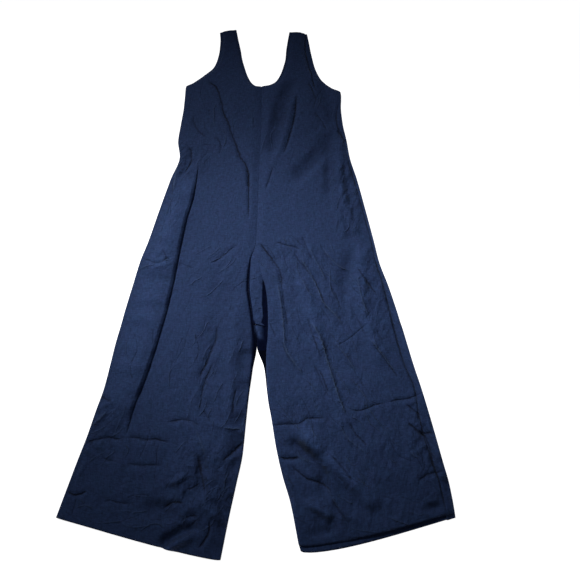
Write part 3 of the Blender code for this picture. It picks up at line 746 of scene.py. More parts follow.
def slopes(places, values):
    """Slopes of a smooth curve through the values that never passes beyond them."""
    steps = np.diff(values) / np.diff(places)
    a, b = steps[:-1], steps[1:]
    together = np.where(a + b == 0, 1.0, a + b)
    inner = np.where(a * b <= 0, 0.0, 2 * a * b / together)
    return np.concatenate([steps[:1], inner, steps[-1:]])


def rows_of(sections, step):
    """Rows at most a step apart, eased between the sections. Every field is a column array."""
    places = stations(sections)
    at, part = [], []
    for i, length in enumerate(np.diff(places)):
        count = max(1, math.ceil(length / step))
        at += [i] * count
        part += [k / count for k in range(count)]
    i = np.array(at + [len(sections) - 2])
    t = np.array(part + [1.0])
    length = np.diff(places)[i]
    rows = SimpleNamespace(down=(places[i] + t * length)[:, None])
    for field in Section._fields[1:]:
        values = np.array([getattr(section, field) for section in sections], float)
        rates = slopes(places, values)
        value = (
            (1 + 2 * t) * (1 - t) ** 2 * values[i]
            + t * (1 - t) ** 2 * length * rates[i]
            + t * t * (3 - 2 * t) * values[i + 1]
            - t * t * (1 - t) * length * rates[i + 1]
        )
        setattr(rows, field, value[:, None])
    return rows


class Half:
    """One flattened tube of the garment, sampled on a grid of rows and columns."""

    def __init__(self, name, sections, settings, step):
        self.name = name
        self.settings = settings
        self.rows = rows_of(sections, step)
        self.foot = self.rows.down[-1, 0]
        self.from_hem = self.foot - self.rows.down

    def strip(self, panel):
        """The run of every row of one panel: its two ends, the turn at the side and the seam."""
        rows, run = self.rows, SimpleNamespace()
        run.in_x = rows.front_in_x if panel == "front" else rows.back_in_x
        out = 1.0
        if panel == "front":
            whole = np.hypot(rows.outer_x - run.in_x, rows.outer_y - rows.in_y)
            out = 1.0 - rows.tuck * (1.0 - rows.fold) / whole
        run.end_x = mix(run.in_x, rows.outer_x, out)
        run.end_y = mix(rows.in_y, rows.outer_y, out)
        run.length = np.hypot(run.end_x - run.in_x, run.end_y - rows.in_y)
        run.radius = (mix(AIR_EDGE, AIR_FOLD, rows.fold) + WALL) / 2
        run.quarter = run.radius * math.pi / 2
        run.centre = run.length - WALL / 2 - run.radius
        reach = run.radius + WALL / 2
        run.seam = np.where(
            np.abs(rows.seam) <= reach,
            run.quarter * rows.seam / reach,
            np.sign(rows.seam) * (run.quarter + np.abs(rows.seam) - reach),
        )
        return run

    def grain(self, panel, u):
        """Distance across the cloth from the middle of the garment."""
        in_x = self.strip(panel).in_x
        return u + in_x if self.name == "left" else u - in_x

    def place(self, run, u):
        """Plan position at a distance along each row."""
        t = u / run.length
        sag = self.rows.bow * np.sin(math.pi * np.clip(t, 0.0, 1.0) ** BOW_SKEW)
        return mix(run.in_x, run.end_x, t), mix(self.rows.in_y, run.end_y, t) + sag

    def relief(self, x, y):
        """Creases and fine wrinkles of this half at points in plan."""
        height = crease_height(self.name, x, y) * self.settings.crease_depth
        for number, patch in enumerate(PATCHES):
            if patch.half == self.name:
                patch_height = wrinkles(x, y, patch, PATCH_SEED + 10 * number)
                height += patch_height * self.settings.wrinkle_depth
        swells = (high * noise(x / wide, y / far, seed) for high, wide, far, seed in SWELLS)
        return height + sum(swells)

    def edges(self, from_outer, from_inner):
        """Rolled edges, seam grooves and the lift of an open hem."""
        rows, cloth = self.rows, self.settings
        roll, inset, hem = cloth.edge_roll / MM, cloth.edge_width / MM, cloth.hem_depth / MM
        neck = smooth((rows.in_y - NECK_FOOT) / 10.0)
        open_side = 1.0 - smooth(rows.fold * 2.0)
        centre_seam = smooth((rows.in_y - FORK_TOP) / 16.0) * (1.0 - neck)
        lift = -centre_seam * 1.5 * bell(from_inner / 2.6)
        for distance, weight in (
            (from_inner, neck), (from_outer, open_side), (rows.down, 1.0)
        ):
            lift = lift + weight * roll * (
                smooth(distance / 1.6) * smooth((inset - distance) / 2.0)
                - 0.7 * bell((distance - inset) / 1.3)
            )
        groove = 0.45 * bell((self.from_hem - hem) / 1.6)
        return lift - groove + 0.25 * smooth((hem - self.from_hem) / 2.0)

    def top(self, run, x, y, from_outer, from_inner):
        """Height of the middle of the front wall."""
        rows = self.rows
        leg = smooth((FORK_TOP - rows.in_y) / 30.0)
        near = np.clip(from_inner / LEG_FALL, 0.0, 1.0)
        fall = mix(smooth(from_inner / EDGE_FALL), np.sqrt(1.0 - (1.0 - near) ** 2), leg)
        air = mix(mix(AIR_EDGE, AIR_CENTRE, 1.0 - leg), self.settings.body_air / MM, fall)
        air = mix(mix(AIR_EDGE, AIR_FOLD, rows.fold), air, smooth(from_outer / TURN_RUN))
        clear = smooth((from_outer - 1.0) / CREASE_CLEAR) * smooth((from_inner + 2.0) / 8.0)
        air = air + clear * self.relief(x, y) + self.edges(from_outer, from_inner)
        if self.name == "left":
            t = np.clip(from_inner / run.length, 0.0, 1.0)
            mouth = mix(MOUTH_SAG, MOUTH_SWELL, smooth((t - 0.16) / 0.5))
            mouth = mouth * np.sin(math.pi * t) ** 0.5
            air = air + mouth * smooth((MOUTH_UP - self.from_hem) / MOUTH_EASE)
        floor, soft = AIR_EDGE * 0.6, 0.3
        air = floor + soft * np.logaddexp(0.0, (air - floor) / soft)
        return 1.5 * WALL + air

    def darkness(self, x, y, from_inner):
        """How far the cloth of the front is turned under, lowered and painted with shade, from 0
        to 1.
        """
        right, tongue, leg = (
            np.where(width > DARK_LEAST, width, -FAR)
            for width in (np.interp(-y, -DARK_Y, widths) for widths in DARK_WIDTHS)
        )
        if self.name == "right":
            return smooth((right - from_inner) / 2.0 + 0.5)
        side = beside(x, y, curve_through(FORK_SLIT))[0]
        slit = smooth((leg + side) / 1.5 + 0.5) * smooth((1.2 - side) / 3.0)
        edge = smooth((tongue - from_inner) / 1.6 + 0.5)
        return np.maximum(slit * (y < FORK_SLIT[0][1]), edge * (side < 0))

    def columns(self, run, total, flat, count, panel):
        """Distances of the columns along every row: close together at creases and edges."""
        turn_end = np.minimum(flat + 2 * run.quarter, total - SHORTEST_COLUMN * END_COLUMNS)
        turn_start = np.minimum(flat, turn_end - SHORTEST_COLUMN * TURN_COLUMNS)
        s = np.linspace(0.0, 1.0, SAMPLES)[None, :] * turn_start
        x, y = self.place(run, s)
        closeness = 1.0 + 1.4 * bell(s / 7.0) + 1.0 * bell((turn_start - s) / 9.0)
        met = np.zeros(len(s))
        inner = 0
        if panel == "front":
            for path, gain, band in GUIDES[self.name]:
                closeness += gain * bell(beside(x, y, curve_through(path))[0] / band)
            inner, line = FOLLOWED[self.name]
            side = beside(x, y, curve_through(line))[0] * (1.0 if self.name == "left" else -1.0)
            met = np.array([np.interp(0.0, row, d) for row, d in zip(side, s)])
            met = np.maximum(met, CLOSEST_COLUMNS * inner)
        steps = (closeness[:, 1:] + closeness[:, :-1]) / 2 * np.diff(s, axis=1)
        passed = np.concatenate([np.zeros((len(s), 1)), np.cumsum(steps, 1)], 1)
        first = []
        for p, d, where in zip(passed, s, met):
            at = np.interp(where, d, p)
            wanted = [np.linspace(0.0, at, inner, endpoint=False),
                      np.linspace(at, p[-1], count - inner)]
            first.append(np.interp(np.concatenate(wanted), p, d))
        turn = [mix(turn_start, turn_end, k / TURN_COLUMNS) for k in range(1, TURN_COLUMNS + 1)]
        last = [mix(turn_end, total, k / END_COLUMNS) for k in range(1, END_COLUMNS + 1)]
        return np.concatenate([np.stack(first), *turn, *last], 1)

    def turn_point(self, run, along):
        """Points round the side fold. along is 0 at the outermost point and + on the front."""
        angle = np.clip(along, -run.quarter, run.quarter) / run.radius
        x, y = self.place(run, run.centre + run.radius * np.cos(angle))
        z = WALL / 2 + run.radius * (1.0 + np.sin(angle))
        over = run.centre - (along - run.quarter)
        over_x, over_y = self.place(run, over)
        over_z = self.top(run, over_x, over_y, run.centre - over, over)
        under_x, under_y = self.place(run, run.centre - (-along - run.quarter))
        on_top, below = along > run.quarter, along < -run.quarter
        x = np.where(on_top, over_x, np.where(below, under_x, x))
        y = np.where(on_top, over_y, np.where(below, under_y, y))
        z = np.where(on_top, over_z, np.where(below, WALL / 2, z))
        return x, y, z

    def front_points(self, u=None):
        """Grid of the middle of the front wall, the distance along each row, and its painted
        shade.
        """
        run = self.strip("front")
        if u is None:
            end = mix(run.quarter, run.seam + SEAM_GAP / 2, self.rows.fold)
            flat = run.centre + SEAM_LAP
            u = self.columns(run, flat + run.quarter - end, flat, FRONT_COLUMNS, "front")
            u = u - SEAM_LAP
        x, y = self.place(run, u)
        z = self.top(run, x, y, run.centre - u, u)
        turned = self.turn_point(run, run.quarter - (u - run.centre))
        x, y, z = (np.where(u <= run.centre, a, b) for a, b in zip((x, y, z), turned))
        painted_shade = self.darkness(x, y, u)
        z = z - (z - 1.5 * WALL - 0.25) * painted_shade * 0.8
        return self.lapped(x, y, z) if self.name == "left" else [x, y, z], u, painted_shade

    def back_points(self):
        """Grid of the middle of the back wall, the distance along each row, and its painted shade.
        """
        run = self.strip("back")
        end = mix(-run.quarter, run.seam - SEAM_GAP / 2, self.rows.fold)
        in_y = self.rows.in_y
        behind = smooth((in_y - SEAM_FOOT) / 20.0) * smooth((SEAM_HEAD - in_y) / 12.0)
        in_fork = bell((in_y - FORK_MEET) / 30.0)
        start = -SEAM_LAP - BACK_MEET[self.name] * np.maximum(in_fork, behind)
        flat = run.centre - start
        u = start + self.columns(run, flat + end + run.quarter, flat, BACK_COLUMNS, "back")
        plain = (*self.place(run, u), np.full_like(u, WALL / 2))
        turned = self.turn_point(run, (u - run.centre) - run.quarter)
        grid = [np.where(u <= run.centre, a, b) for a, b in zip(plain, turned)]
        x, y = plain[:2]
        up = (y - WEDGE_FOOT) / WEDGE_HEIGHT
        wedge = smooth((WEDGE_WIDTH * up - np.abs(x - mix(*WEDGE_MIDDLE, up))) / 2.4 + 0.5)
        painted_shade = smooth((FORK_DARK_TOP - y) / 20.0) * smooth((y - FORK_DARK_FOOT) / 40.0)
        painted_shade = painted_shade * smooth((FORK_DARK_SIDE - np.abs(x)) / 20.0)
        return grid, u, painted_shade * (1.0 - wedge * (y < TONGUE_END))

    def lapped(self, x, y, z):
        """Pushes the cloth of the left leg over the slit under the fork."""
        distance, share, left_x, left_y = beside(x, y, curve_through(FORK_SLIT))
        fade = smooth(share / 0.14) * smooth((1.0 - share) / 0.35)
        w = distance / LAP.run
        push = -LAP.over * w * np.exp(-1.2 * np.minimum(w * w, 50)) * (np.abs(w) < 12) * fade
        over = smooth((w + 0.6) / 1.6)
        rise = LAP.rise * over * bell(np.maximum(distance, 0) / LAP.high)
        low = 1.5 * WALL + 0.45 * (z - 1.5 * WALL)
        z = mix(z, mix(low, z, over), fade * (np.abs(distance) < 60)) + rise * fade
        return [x + push * left_x, y + push * left_y, z]


# ---------------------------------------------------------------- meshes


def cloth_piece(name, grid, u, down, face_up, materials, wall, painted_shade, facing=None):
    """A panel as a smooth grid with a wall, a map of its grain, its fine lines and its painted
    shade.
    """
    x, y, z = grid
    rows, columns = x.shape
    half = name.split("_")[0]
    crumpled = np.zeros_like(x)
    for patch in PATCHES:
        if patch.half == half:
            crumpled = np.maximum(crumpled, within(patch, x, y, 1.3, 0.8) * patch.rise)
    away, strength = line_layers(half, x, y)
    lean = crease_height(half, x, y, "lean") * MM
    mesh = bpy.data.meshes.new(name)
    points = np.stack([x, y, z], 2).reshape(-1, 3) * MM
    index = np.arange(rows * columns).reshape(rows, columns)
    corners = [index[:-1, :-1], index[:-1, 1:], index[1:, 1:], index[1:, :-1]]
    if not face_up:
        corners = corners[::-1]
    faces = np.stack(corners, 2).reshape(-1, 4)
    mesh.from_pydata(points.tolist(), [], faces.tolist())
    grain = np.stack([u + 0 * x, down + 0 * x], 2).reshape(-1, 2) * MM
    layer = mesh.uv_layers.new(name="grain")
    layer.data.foreach_set("uv", grain[faces.ravel()].ravel())
    mesh.shade_smooth()
    for label, values in (("crumpled", crumpled), ("painted_shade", painted_shade), ("lean", lean)):
        field = mesh.attributes.new(label, "FLOAT", "POINT")
        field.data.foreach_set("value", values.ravel().astype(np.float32))
    for label, layers in (("away", away), ("strength", strength)):
        for first in range(0, LAYERS, 3):
            field = mesh.attributes.new(f"{label}_{first // 3}", "FLOAT_VECTOR", "POINT")
            values = np.stack(list(layers[first:first + 3]), 2)
            field.data.foreach_set("vector", values.ravel().astype(np.float32))
    for material in materials:
        mesh.materials.append(material)
    if facing is not None:
        slots = np.repeat(np.where(facing[:-1], 2, 0), columns - 1)
        mesh.polygons.foreach_set("material_index", slots.astype(np.int32))
    piece = linked(name, mesh)
    thick = piece.modifiers.new("Wall", "SOLIDIFY")
    thick.thickness = wall
    thick.offset = 0.0
    thick.use_rim = True
    thick.material_offset = 1
    thick.material_offset_rim = 0
    return piece


def linked(name, data):
    """An object of the scene."""
    made = bpy.data.objects.new(name, data)
    bpy.context.scene.collection.objects.link(made)
    return made


# ---------------------------------------------------------------- materials


class Signal:
    """An output of a node that can be reckoned with like a number."""

    def __init__(self, tree, socket):
        self.tree, self.socket = tree, socket

    def __add__(self, other):
        return self.tree.math("ADD", self, other)

    def __sub__(self, other):
        return self.tree.math("SUBTRACT", self, other)

    def __rsub__(self, other):
        return self.tree.math("SUBTRACT", other, self)

    def __mul__(self, other):
        return self.tree.math("MULTIPLY", self, other)

    def __truediv__(self, other):
        return self.tree.math("DIVIDE", self, other)

    def __rtruediv__(self, other):
        return self.tree.math("DIVIDE", other, self)

    def __abs__(self):
        return self.tree.math("ABSOLUTE", self)

    def at_least(self, low):
        return self.tree.math("MAXIMUM", self, low)

    def at_most(self, high):
        return self.tree.math("MINIMUM", self, high)

    __radd__ = __add__


class Tree:
    """Shorthand for wiring nodes."""

    def __init__(self, tree):
        self.nodes, self.links = tree.nodes, tree.links

    def fill(self, node, values):
        """Links or sets the inputs of a node."""
        for name, value in dict(values).items():
            if isinstance(value, Signal):
                self.links.new(value.socket, node.inputs[name])
            else:
                node.inputs[name].default_value = value

    def add(self, kind, values=(), **attributes):
        node = self.nodes.new(kind)
        for name, value in attributes.items():
            setattr(node, name, value)
        self.fill(node, values)
        return node

    def out(self, kind, values=(), output=0, **attributes):
        """One output of a new node."""
        return Signal(self, self.add(kind, values, **attributes).outputs[output])

    def outs(self, kind, values=(), **attributes):
        """All the outputs of a new node, by name."""
        node = self.add(kind, values, **attributes)
        return {socket.name: Signal(self, socket) for socket in node.outputs}

    def math(self, operation, *values):
        return self.out("ShaderNodeMath", enumerate(values), operation=operation)

    def split(self, vector):
        return list(self.outs("ShaderNodeSeparateXYZ", {"Vector": vector}).values())

    def noise(self, vector, scale, detail, roughness):
        return self.out(
            "ShaderNodeTexNoise",
            {"Vector": vector, "Scale": scale, "Detail": detail, "Roughness": roughness}, "Fac",
        )

    def stretched(self, vector, scale, turn=0.0):
        return self.out("ShaderNodeMapping",
                        {"Vector": vector, "Scale": scale, "Rotation": (0.0, 0.0, turn)})

    def field(self, name, output="Fac"):
        """A value that the mesh carries at its points."""
        return self.out("ShaderNodeAttribute", output=output, attribute_name=name)

    def bump(self, height, distance, **normal):
        return self.out("ShaderNodeBump",
                        {"Strength": 1.0, "Distance": distance, "Height": height, **normal})

    def tint(self, colour, share, other, blend="MULTIPLY"):
        """A colour blended with another one."""
        node = self.add("ShaderNodeMix", {0: share}, data_type="RGBA", blend_type=blend)
        # the colour sockets of a mix node share their names with the number sockets
        first, second = (k for k, socket in enumerate(node.inputs) if socket.type == "RGBA")
        self.fill(node, {first: colour, second: (*other, 1.0)})
        return Signal(self, next(socket for socket in node.outputs if socket.type == "RGBA"))


def plain_weave(w, grain, thread):
    """Threads that pass over and under each other, as a height and a mask of the gaps."""
    warp, weft = (w.math("SINE", part / thread * math.pi) for part in w.split(grain)[:2])
    over = w.math("SIGN", warp * weft) * 0.5 + 0.5
    warp, weft = abs(warp), abs(weft)
    return warp * over + weft * (1.0 - over), 1.0 - w.math("MAXIMUM", warp, weft)


def slubs(w, grain):
    """Thicker stretches of yarn, both ways of the cloth, and a mottle, from 0 to 1."""
    weft = w.noise(w.stretched(grain, (80.0, 380.0, 1.0)), 1.0, 3.0, 0.6)
    warp = w.noise(w.stretched(grain, (340.0, 70.0, 1.0)), 1.0, 3.0, 0.6)
    both = (weft - 0.5) * 1.8 + ((warp - 0.5) * 1.5 + 0.5)
    return both, w.noise(grain, 150.0, 4.0, 0.62)


def crinkle(w, grain):
    """Small creases left by washing and wearing, as a height."""
    coarse = w.noise(w.stretched(grain, (70.0, 44.0, 1.0), 0.5), 1.0, 3.0, 0.55)
    fine = w.noise(w.stretched(grain, (210.0, 150.0, 1.0), -0.4), 1.0, 3.0, 0.6)
    lines = 1.0 - (abs(w.noise(grain, 58.0, 4.0, 0.55) - 0.5) * 9.0).at_most(1.0)
    return (fine * 0.45 + coarse - lines * 0.16,)


def crumple(w, grain, size):
    """Flat facets that meet in sharp ridges, as cloth has where it was crushed."""
    place = w.out("ShaderNodeVectorMath", {0: grain, "Scale": 1.0 / size}, operation="SCALE")
    bent = w.out("ShaderNodeTexNoise", {"Vector": place, "Scale": 0.6, "Detail": 2.0}, "Color")
    place = w.out("ShaderNodeVectorMath", {0: bent, 1: (0.9, 0.9, 0.0), 2: place},
                  operation="MULTIPLY_ADD")
    total = 0.0
    for scale, turn, share in ((0.7, 0.7, 1.0), (1.5, -0.5, 0.5)):
        facets = w.out("ShaderNodeTexVoronoi",
                       {"Vector": w.stretched(place, (1.0, 0.6, 1.0), turn), "Scale": scale},
                       "Distance", feature="F1", distance="MANHATTAN")
        total = total + facets * share
    return (total,)


def fine_creases(w, away, strength, waver):
    """Lines finer than the mesh, from signed distances in half-widths and their strengths: a
    height, a painted shade in their troughs and a painted highlight on their ridges.
    """
    height = painted_shade = pale = 0.0
    for far, force in zip(w.split(away), w.split(strength)):
        far = abs(far + waver)
        line = 1.0 - far.at_most(1.0)
        line = line * line * (3.0 + line * -2.0) * force
        wide = 1.0 - (far / 3.0).at_most(1.0)
        height = height + (wide * wide * force * 0.9 + line)
        painted_shade = painted_shade + (line * -1.0).at_least(0.0)
        pale = pale + line.at_least(0.0)
    return height, painted_shade, pale


# Shared effects: name, what works them out, inputs with their defaults, and outputs
EFFECTS = (
    ("Plain weave", plain_weave, {"Grain": None, "Thread": 0.0006}, ("Height", "Gaps")),
    ("Slubs", slubs, {"Grain": None}, ("Slubs", "Mottle")),
    ("Crinkle", crinkle, {"Grain": None}, ("Height",)),
    ("Crumple", crumple, {"Grain": None, "Size": 0.022}, ("Height",)),
    ("Fine creases", fine_creases, {"Away": None, "Strength": None, "Waver": 0.0},
     ("Height", "Painted shade", "Painted highlight")),
)


def effect_group(name, effect, inputs, outputs):
    """A shader node group of one effect. An input without a default is a vector."""
    tree = bpy.data.node_groups.new(name, "ShaderNodeTree")
    for label, value in inputs.items():
        kind = "NodeSocketVector" if value is None else "NodeSocketFloat"
        socket = tree.interface.new_socket(label, in_out="INPUT", socket_type=kind)
        if value is not None:
            socket.default_value = value
    for label in outputs:
        tree.interface.new_socket(label, in_out="OUTPUT", socket_type="NodeSocketFloat")
    w = Tree(tree)
    given = w.outs("NodeGroupInput")
    results = effect(w, *(given[label] for label in inputs))
    w.add("NodeGroupOutput", zip(outputs, results))
    return tree


def new_material(name):
    """A material, and the shorthand for wiring its nodes."""
    material = bpy.data.materials.new(name)
    material.use_nodes = True
    return material, Tree(material.node_tree)


def cloth_material(name, colour, settings, groups):
    """Matt woven cloth: navy yarn with paler slubs, a soft crinkle and a weave."""
    material, w = new_material(name)
    grain = w.out("ShaderNodeUVMap", uv_map="grain")

    def effect(label, **values):
        return w.outs("ShaderNodeGroup", values, node_tree=groups[label])

    threads = effect("Plain weave", Grain=grain, Thread=settings.thread)
    yarn = effect("Slubs", Grain=grain)
    worn = effect("Crinkle", Grain=grain)
    facets = effect("Crumple", Grain=grain)
    painted_shade, crushed, lean = (w.field(label) for label in ("painted_shade", "crumpled", "lean"))
    waver = (w.noise(grain, 120.0, 2.0, 0.5) - 0.5) * 1.6
    heights = crease_shade = ridge_highlight = 0.0
    for number in range(LAYERS // 3):
        lines = effect("Fine creases", Away=w.field(f"away_{number}", "Vector"),
                       Strength=w.field(f"strength_{number}", "Vector"), Waver=waver)
        heights = heights + lines["Height"]
        crease_shade = crease_shade + lines["Painted shade"]
        ridge_highlight = ridge_highlight + lines["Painted highlight"]
    # the dye took a little redder in some places
    dye = w.noise(grain, 42.0, 3.0, 0.6) * 3.0 - 1.1
    low, high = ([c * (1.0 + way * settings.slub_contrast) for c in colour] for way in (-1, 1))
    pale = (yarn["Mottle"] - 0.5) * 0.9 + yarn["Slubs"]
    shade = w.tint((*low, 1.0), pale, high, "MIX")
    # broad raised folds are painted paler, as a highlight, and the hollows beside them darker, as
    # a painted shade; both follow lean
    for share, tint, blend in (
        # the gaps between the threads are darkened, a painted shade of the weave
        (threads["Gaps"] * 0.5, (0.45, 0.45, 0.5), "MULTIPLY"),
        ((lean * 125.0).at_least(0.0).at_most(1.0), (1.32, 1.30, 1.27), "MULTIPLY"),
        ((lean * -125.0).at_least(0.0).at_most(1.0), (0.78, 0.79, 0.82), "MULTIPLY"),
        (dye.at_least(0.0).at_most(1.0) * 0.7, (1.16, 0.96, 1.03), "MULTIPLY"),
        # fine crease lines: painted shade in their troughs, painted highlight on their ridges
        ((crease_shade * settings.painted_crease_shade).at_most(MOST_LINE), (0.20, 0.20, 0.24), "MULTIPLY"),
        ((ridge_highlight * settings.painted_ridge_highlight).at_most(MOST_LINE), settings.ridge_highlight, "MIX"),
        # near-black painted shade where the cloth lies turned under at the fork
        (painted_shade, (0.10, 0.13, 0.26), "MULTIPLY"),
    ):
        shade = w.tint(shade, share, tint, blend)
    rough = painted_shade * 0.2 + (yarn["Mottle"] * -0.12 + (settings.roughness + 0.06))
    relief = worn["Height"] * settings.crinkle_depth + heights * settings.line_depth
    relief = relief + facets["Height"] * crushed * settings.crumple_depth + lean
    soft = w.bump(relief, 1.0)
    slubby = w.bump(yarn["Slubs"], settings.slub_depth, Normal=soft)
    w.fill(w.nodes["Principled BSDF"], {
        "Base Color": shade,
        "Roughness": rough.at_most(1.0),
        # where shade is painted, the cloth is also made metallic and rougher, which takes its
        # gloss away and keeps the painted shade dark
        "Metallic": painted_shade * 0.75,
        "Specular IOR Level": settings.shine,
        "Sheen Weight": settings.sheen,
        "Sheen Roughness": 0.45,
        "Sheen Tint": (*settings.bloom, 1.0),
        "Normal": w.bump(threads["Height"], settings.weave_depth, Normal=slubby),
    })
    return material


def thread_material(settings):
    """Sewing thread, a little smoother than the cloth and dyed to match."""
    material, w = new_material("matching thread")
    place = w.out("ShaderNodeTexCoord", output="Object")
    tone = w.add("ShaderNodeValToRGB", {"Fac": w.noise(place, 2600.0, 2.0, 0.5)})
    for stop, share in zip(tone.color_ramp.elements, (0.75, 1.25)):
        stop.color = (*[share * c for c in settings.colour], 1.0)
    w.fill(w.nodes["Principled BSDF"], {
        "Base Color": Signal(w, tone.outputs["Color"]),
        "Roughness": 0.6,
        "Specular IOR Level": 0.3,
    })
    return material


def cloth_materials(settings):
    """The outside and the inside of the cloth, made once; the inside's colour is painted darker,
    as shade.
    """
    colours = {"navy cloth": settings.navy, "navy cloth inside": settings.inside}
    made = [bpy.data.materials.get(name) for name in colours]
    if not all(made):
        groups = {row[0]: effect_group(*row) for row in EFFECTS}
        made = [cloth_material(*pair, settings, groups) for pair in colours.items()]
    return made


# ---------------------------------------------------------------- stitching


def stitch_tree():
    """Stitches along the edges that come in: one small thread every pitch."""
    tree = bpy.data.node_groups.new("Stitches", "GeometryNodeTree")
    for label, kind, way in (
        ("Geometry", "Geometry", "INPUT"), ("Length", "Float", "INPUT"),
        ("Pitch", "Float", "INPUT"), ("Thread", "Float", "INPUT"),
        ("Material", "Material", "INPUT"), ("Geometry", "Geometry", "OUTPUT"),
    ):
        tree.interface.new_socket(label, in_out=way, socket_type=f"NodeSocket{kind}")
    w = Tree(tree)
    given = w.outs("NodeGroupInput")
    line = w.out("GeometryNodeMeshToCurve", {"Mesh": given["Geometry"]})
    even = w.out("GeometryNodeResampleCurve", {"Curve": line, "Length": given["Pitch"]},
                 mode="LENGTH")
    ball = w.out("GeometryNodeMeshUVSphere", {"Segments": 8, "Rings": 5, "Radius": 0.5}, "Mesh")
    size = w.out("ShaderNodeCombineXYZ",
                 {"X": given["Thread"], "Y": given["Thread"], "Z": given["Length"]})
    aim = w.out("FunctionNodeAlignRotationToVector",
                {"Vector": w.out("GeometryNodeInputTangent")}, axis="Z")
    spread = w.out("GeometryNodeInstanceOnPoints",
                   {"Points": even, "Instance": ball, "Rotation": aim, "Scale": size})
    real = w.out("GeometryNodeRealizeInstances", {"Geometry": spread})
    dyed = w.out("GeometryNodeSetMaterial", {"Geometry": real, "Material": given["Material"]})
    w.add("NodeGroupOutput", {"Geometry": dyed})
    return tree


def stitch_lines(half, settings):
    """Lines of points along the neck, the armhole and the hem, on top of the front cloth."""
    rows, run = half.rows, half.strip("front")
    inset = settings.edge_width / MM + STITCH_INSET
    neck = (rows.in_y > NECK_STITCHED)[:, 0]
    armhole = (rows.fold < 0.05)[:, 0]
    lines = []
    for u, chosen in ((np.full_like(rows.in_y, inset), neck), (run.centre - inset, armhole)):
        lines.append(np.concatenate(half.front_points(u)[0], 1)[chosen])
    grid, u, _ = half.front_points()
    row = int(np.argmin(np.abs(half.from_hem - settings.hem_depth / MM)))
    keep = (u[row] > 2.0) & (u[row] < run.centre[row] + run.quarter[row])
    lines.append(np.stack([column[row] for column in grid], 1)[keep])
    return [(line + (0.0, 0.0, WALL / 2 + STITCH_LIFT)) * MM for line in lines]


def stitch_piece(name, lines, tree, material, stitches):
    """Lines turned into real stitches by the node tree, as one plain mesh."""
    mesh = bpy.data.meshes.new(name)
    points, edges = [], []
    for line in lines:
        first = len(points)
        points += line.tolist()
        edges += [(first + k, first + k + 1) for k in range(len(line) - 1)]
    mesh.from_pydata(points, edges, [])
    piece = linked(name, mesh)
    sewn = piece.modifiers.new("Stitches", "NODES")
    sewn.node_group = tree
    values = {
        "Length": stitches.length, "Pitch": stitches.pitch, "Thread": stitches.thickness,
        "Material": material,
    }
    for item in tree.interface.items_tree:
        if item.name in values:
            sewn[item.identifier] = values[item.name]
    ready = piece.evaluated_get(bpy.context.evaluated_depsgraph_get())
    plain = bpy.data.meshes.new_from_object(ready)
    plain.name = name
    piece.modifiers.clear()
    piece.data = plain
    bpy.data.meshes.remove(mesh)
    plain.shade_smooth()
    return piece


# ---------------------------------------------------------------- settings


# Shorthand for the kinds of settings


def amount(name, about, default, low=0.0, high=1.0, **more):
    return FloatProperty(name=name, description=about, default=default, min=low, max=high, **more)


def metres(name, about, default, low, high):
    return amount(name, about, default, low, high, unit="LENGTH", precision=5)


def factor(name, about, default):
    return amount(name, about, default, subtype="FACTOR")


def tone(name, about, *default):
    return FloatVectorProperty(name=name, description=about, default=default, subtype="COLOR",
                               min=0.0, max=1.0)


class ClothSettings(bpy.types.PropertyGroup):
    """Sizes and colours of the cloth."""

    wall: metres("Cloth wall", "Thickness of the cloth with its turnings", WALL * MM,
                 0.0003, 0.003)
    body_air: metres("Loft", "Air under the front cloth", 0.0038, 0.0, 0.01)
    crease_depth: amount("Creases", "Strength of the placed creases", 1.3, high=4.0)
    wrinkle_depth: amount("Wrinkles", "Strength of the seeded wrinkles", 1.7, high=4.0)
    line_depth: metres("Fine lines", "Depth of the fine crease lines", 0.0012, 0.0, 0.003)
    crumple_depth: metres("Crumple", "Height of the crushed facets", 0.006, 0.0, 0.02)
    # the fine creases are painted darker in their troughs, as shade, and paler on their ridges, as
    # highlight
    painted_crease_shade: amount("Crease shade", "How dark the yarn is in creases", 0.8, high=2.0)
    painted_ridge_highlight: amount("Ridge highlight", "How pale the yarn is on ridges", 0.3, high=2.0)
    ridge_highlight: tone("Ridge highlight colour", "Colour of yarn rubbed pale", 0.05, 0.085, 0.17)
    edge_roll: metres("Edge roll", "Height of the turned edges", 0.0006, 0.0, 0.002)
    edge_width: metres("Edge width", "Width of the turned edges", 0.0075, 0.003, 0.02)
    hem_depth: metres("Hem depth", "From the hem to its stitching", 0.042, 0.01, 0.08)
    navy: tone("Navy", "Colour of the outside of the cloth", 0.0185, 0.041, 0.116)
    # the inside is painted darker than the outside, as shade where it shows in the openings
    inside: tone("Inside", "Colour of the inside of the cloth", 0.010, 0.018, 0.044)
    bloom: tone("Bloom", "Colour of the fine nap", 0.55, 0.72, 1.0)
    roughness: factor("Roughness", "Roughness of the yarn", 0.84)
    shine: factor("Shine", "Specular level of the yarn", 0.22)
    sheen: factor("Nap", "Weight of the nap's sheen", 0.06)
    thread: metres("Thread", "Distance between two threads", 0.00075, 0.0002, 0.003)
    slub_contrast: factor("Slub contrast", "How far slubs vary the colour", 0.34)
    slub_depth: metres("Slub depth", "Height of the slubs", 0.00012, 0.0, 0.001)
    weave_depth: metres("Weave depth", "Height of the weave", 0.00010, 0.0, 0.001)
    crinkle_depth: metres("Crinkle", "Height of the small creases", 0.0016, 0.0, 0.005)


class StitchSettings(bpy.types.PropertyGroup):
    """Sizes and colour of the stitching."""

    length: metres("Length", "Length of one stitch", 0.0026, 0.0005, 0.01)
    pitch: metres("Pitch", "From one stitch to the next", 0.0033, 0.001, 0.02)
    thickness: metres("Thread", "Thickness of the thread", 0.0005, 0.0001, 0.002)
    colour: tone("Colour", "Colour of the thread", 0.016, 0.032, 0.080)


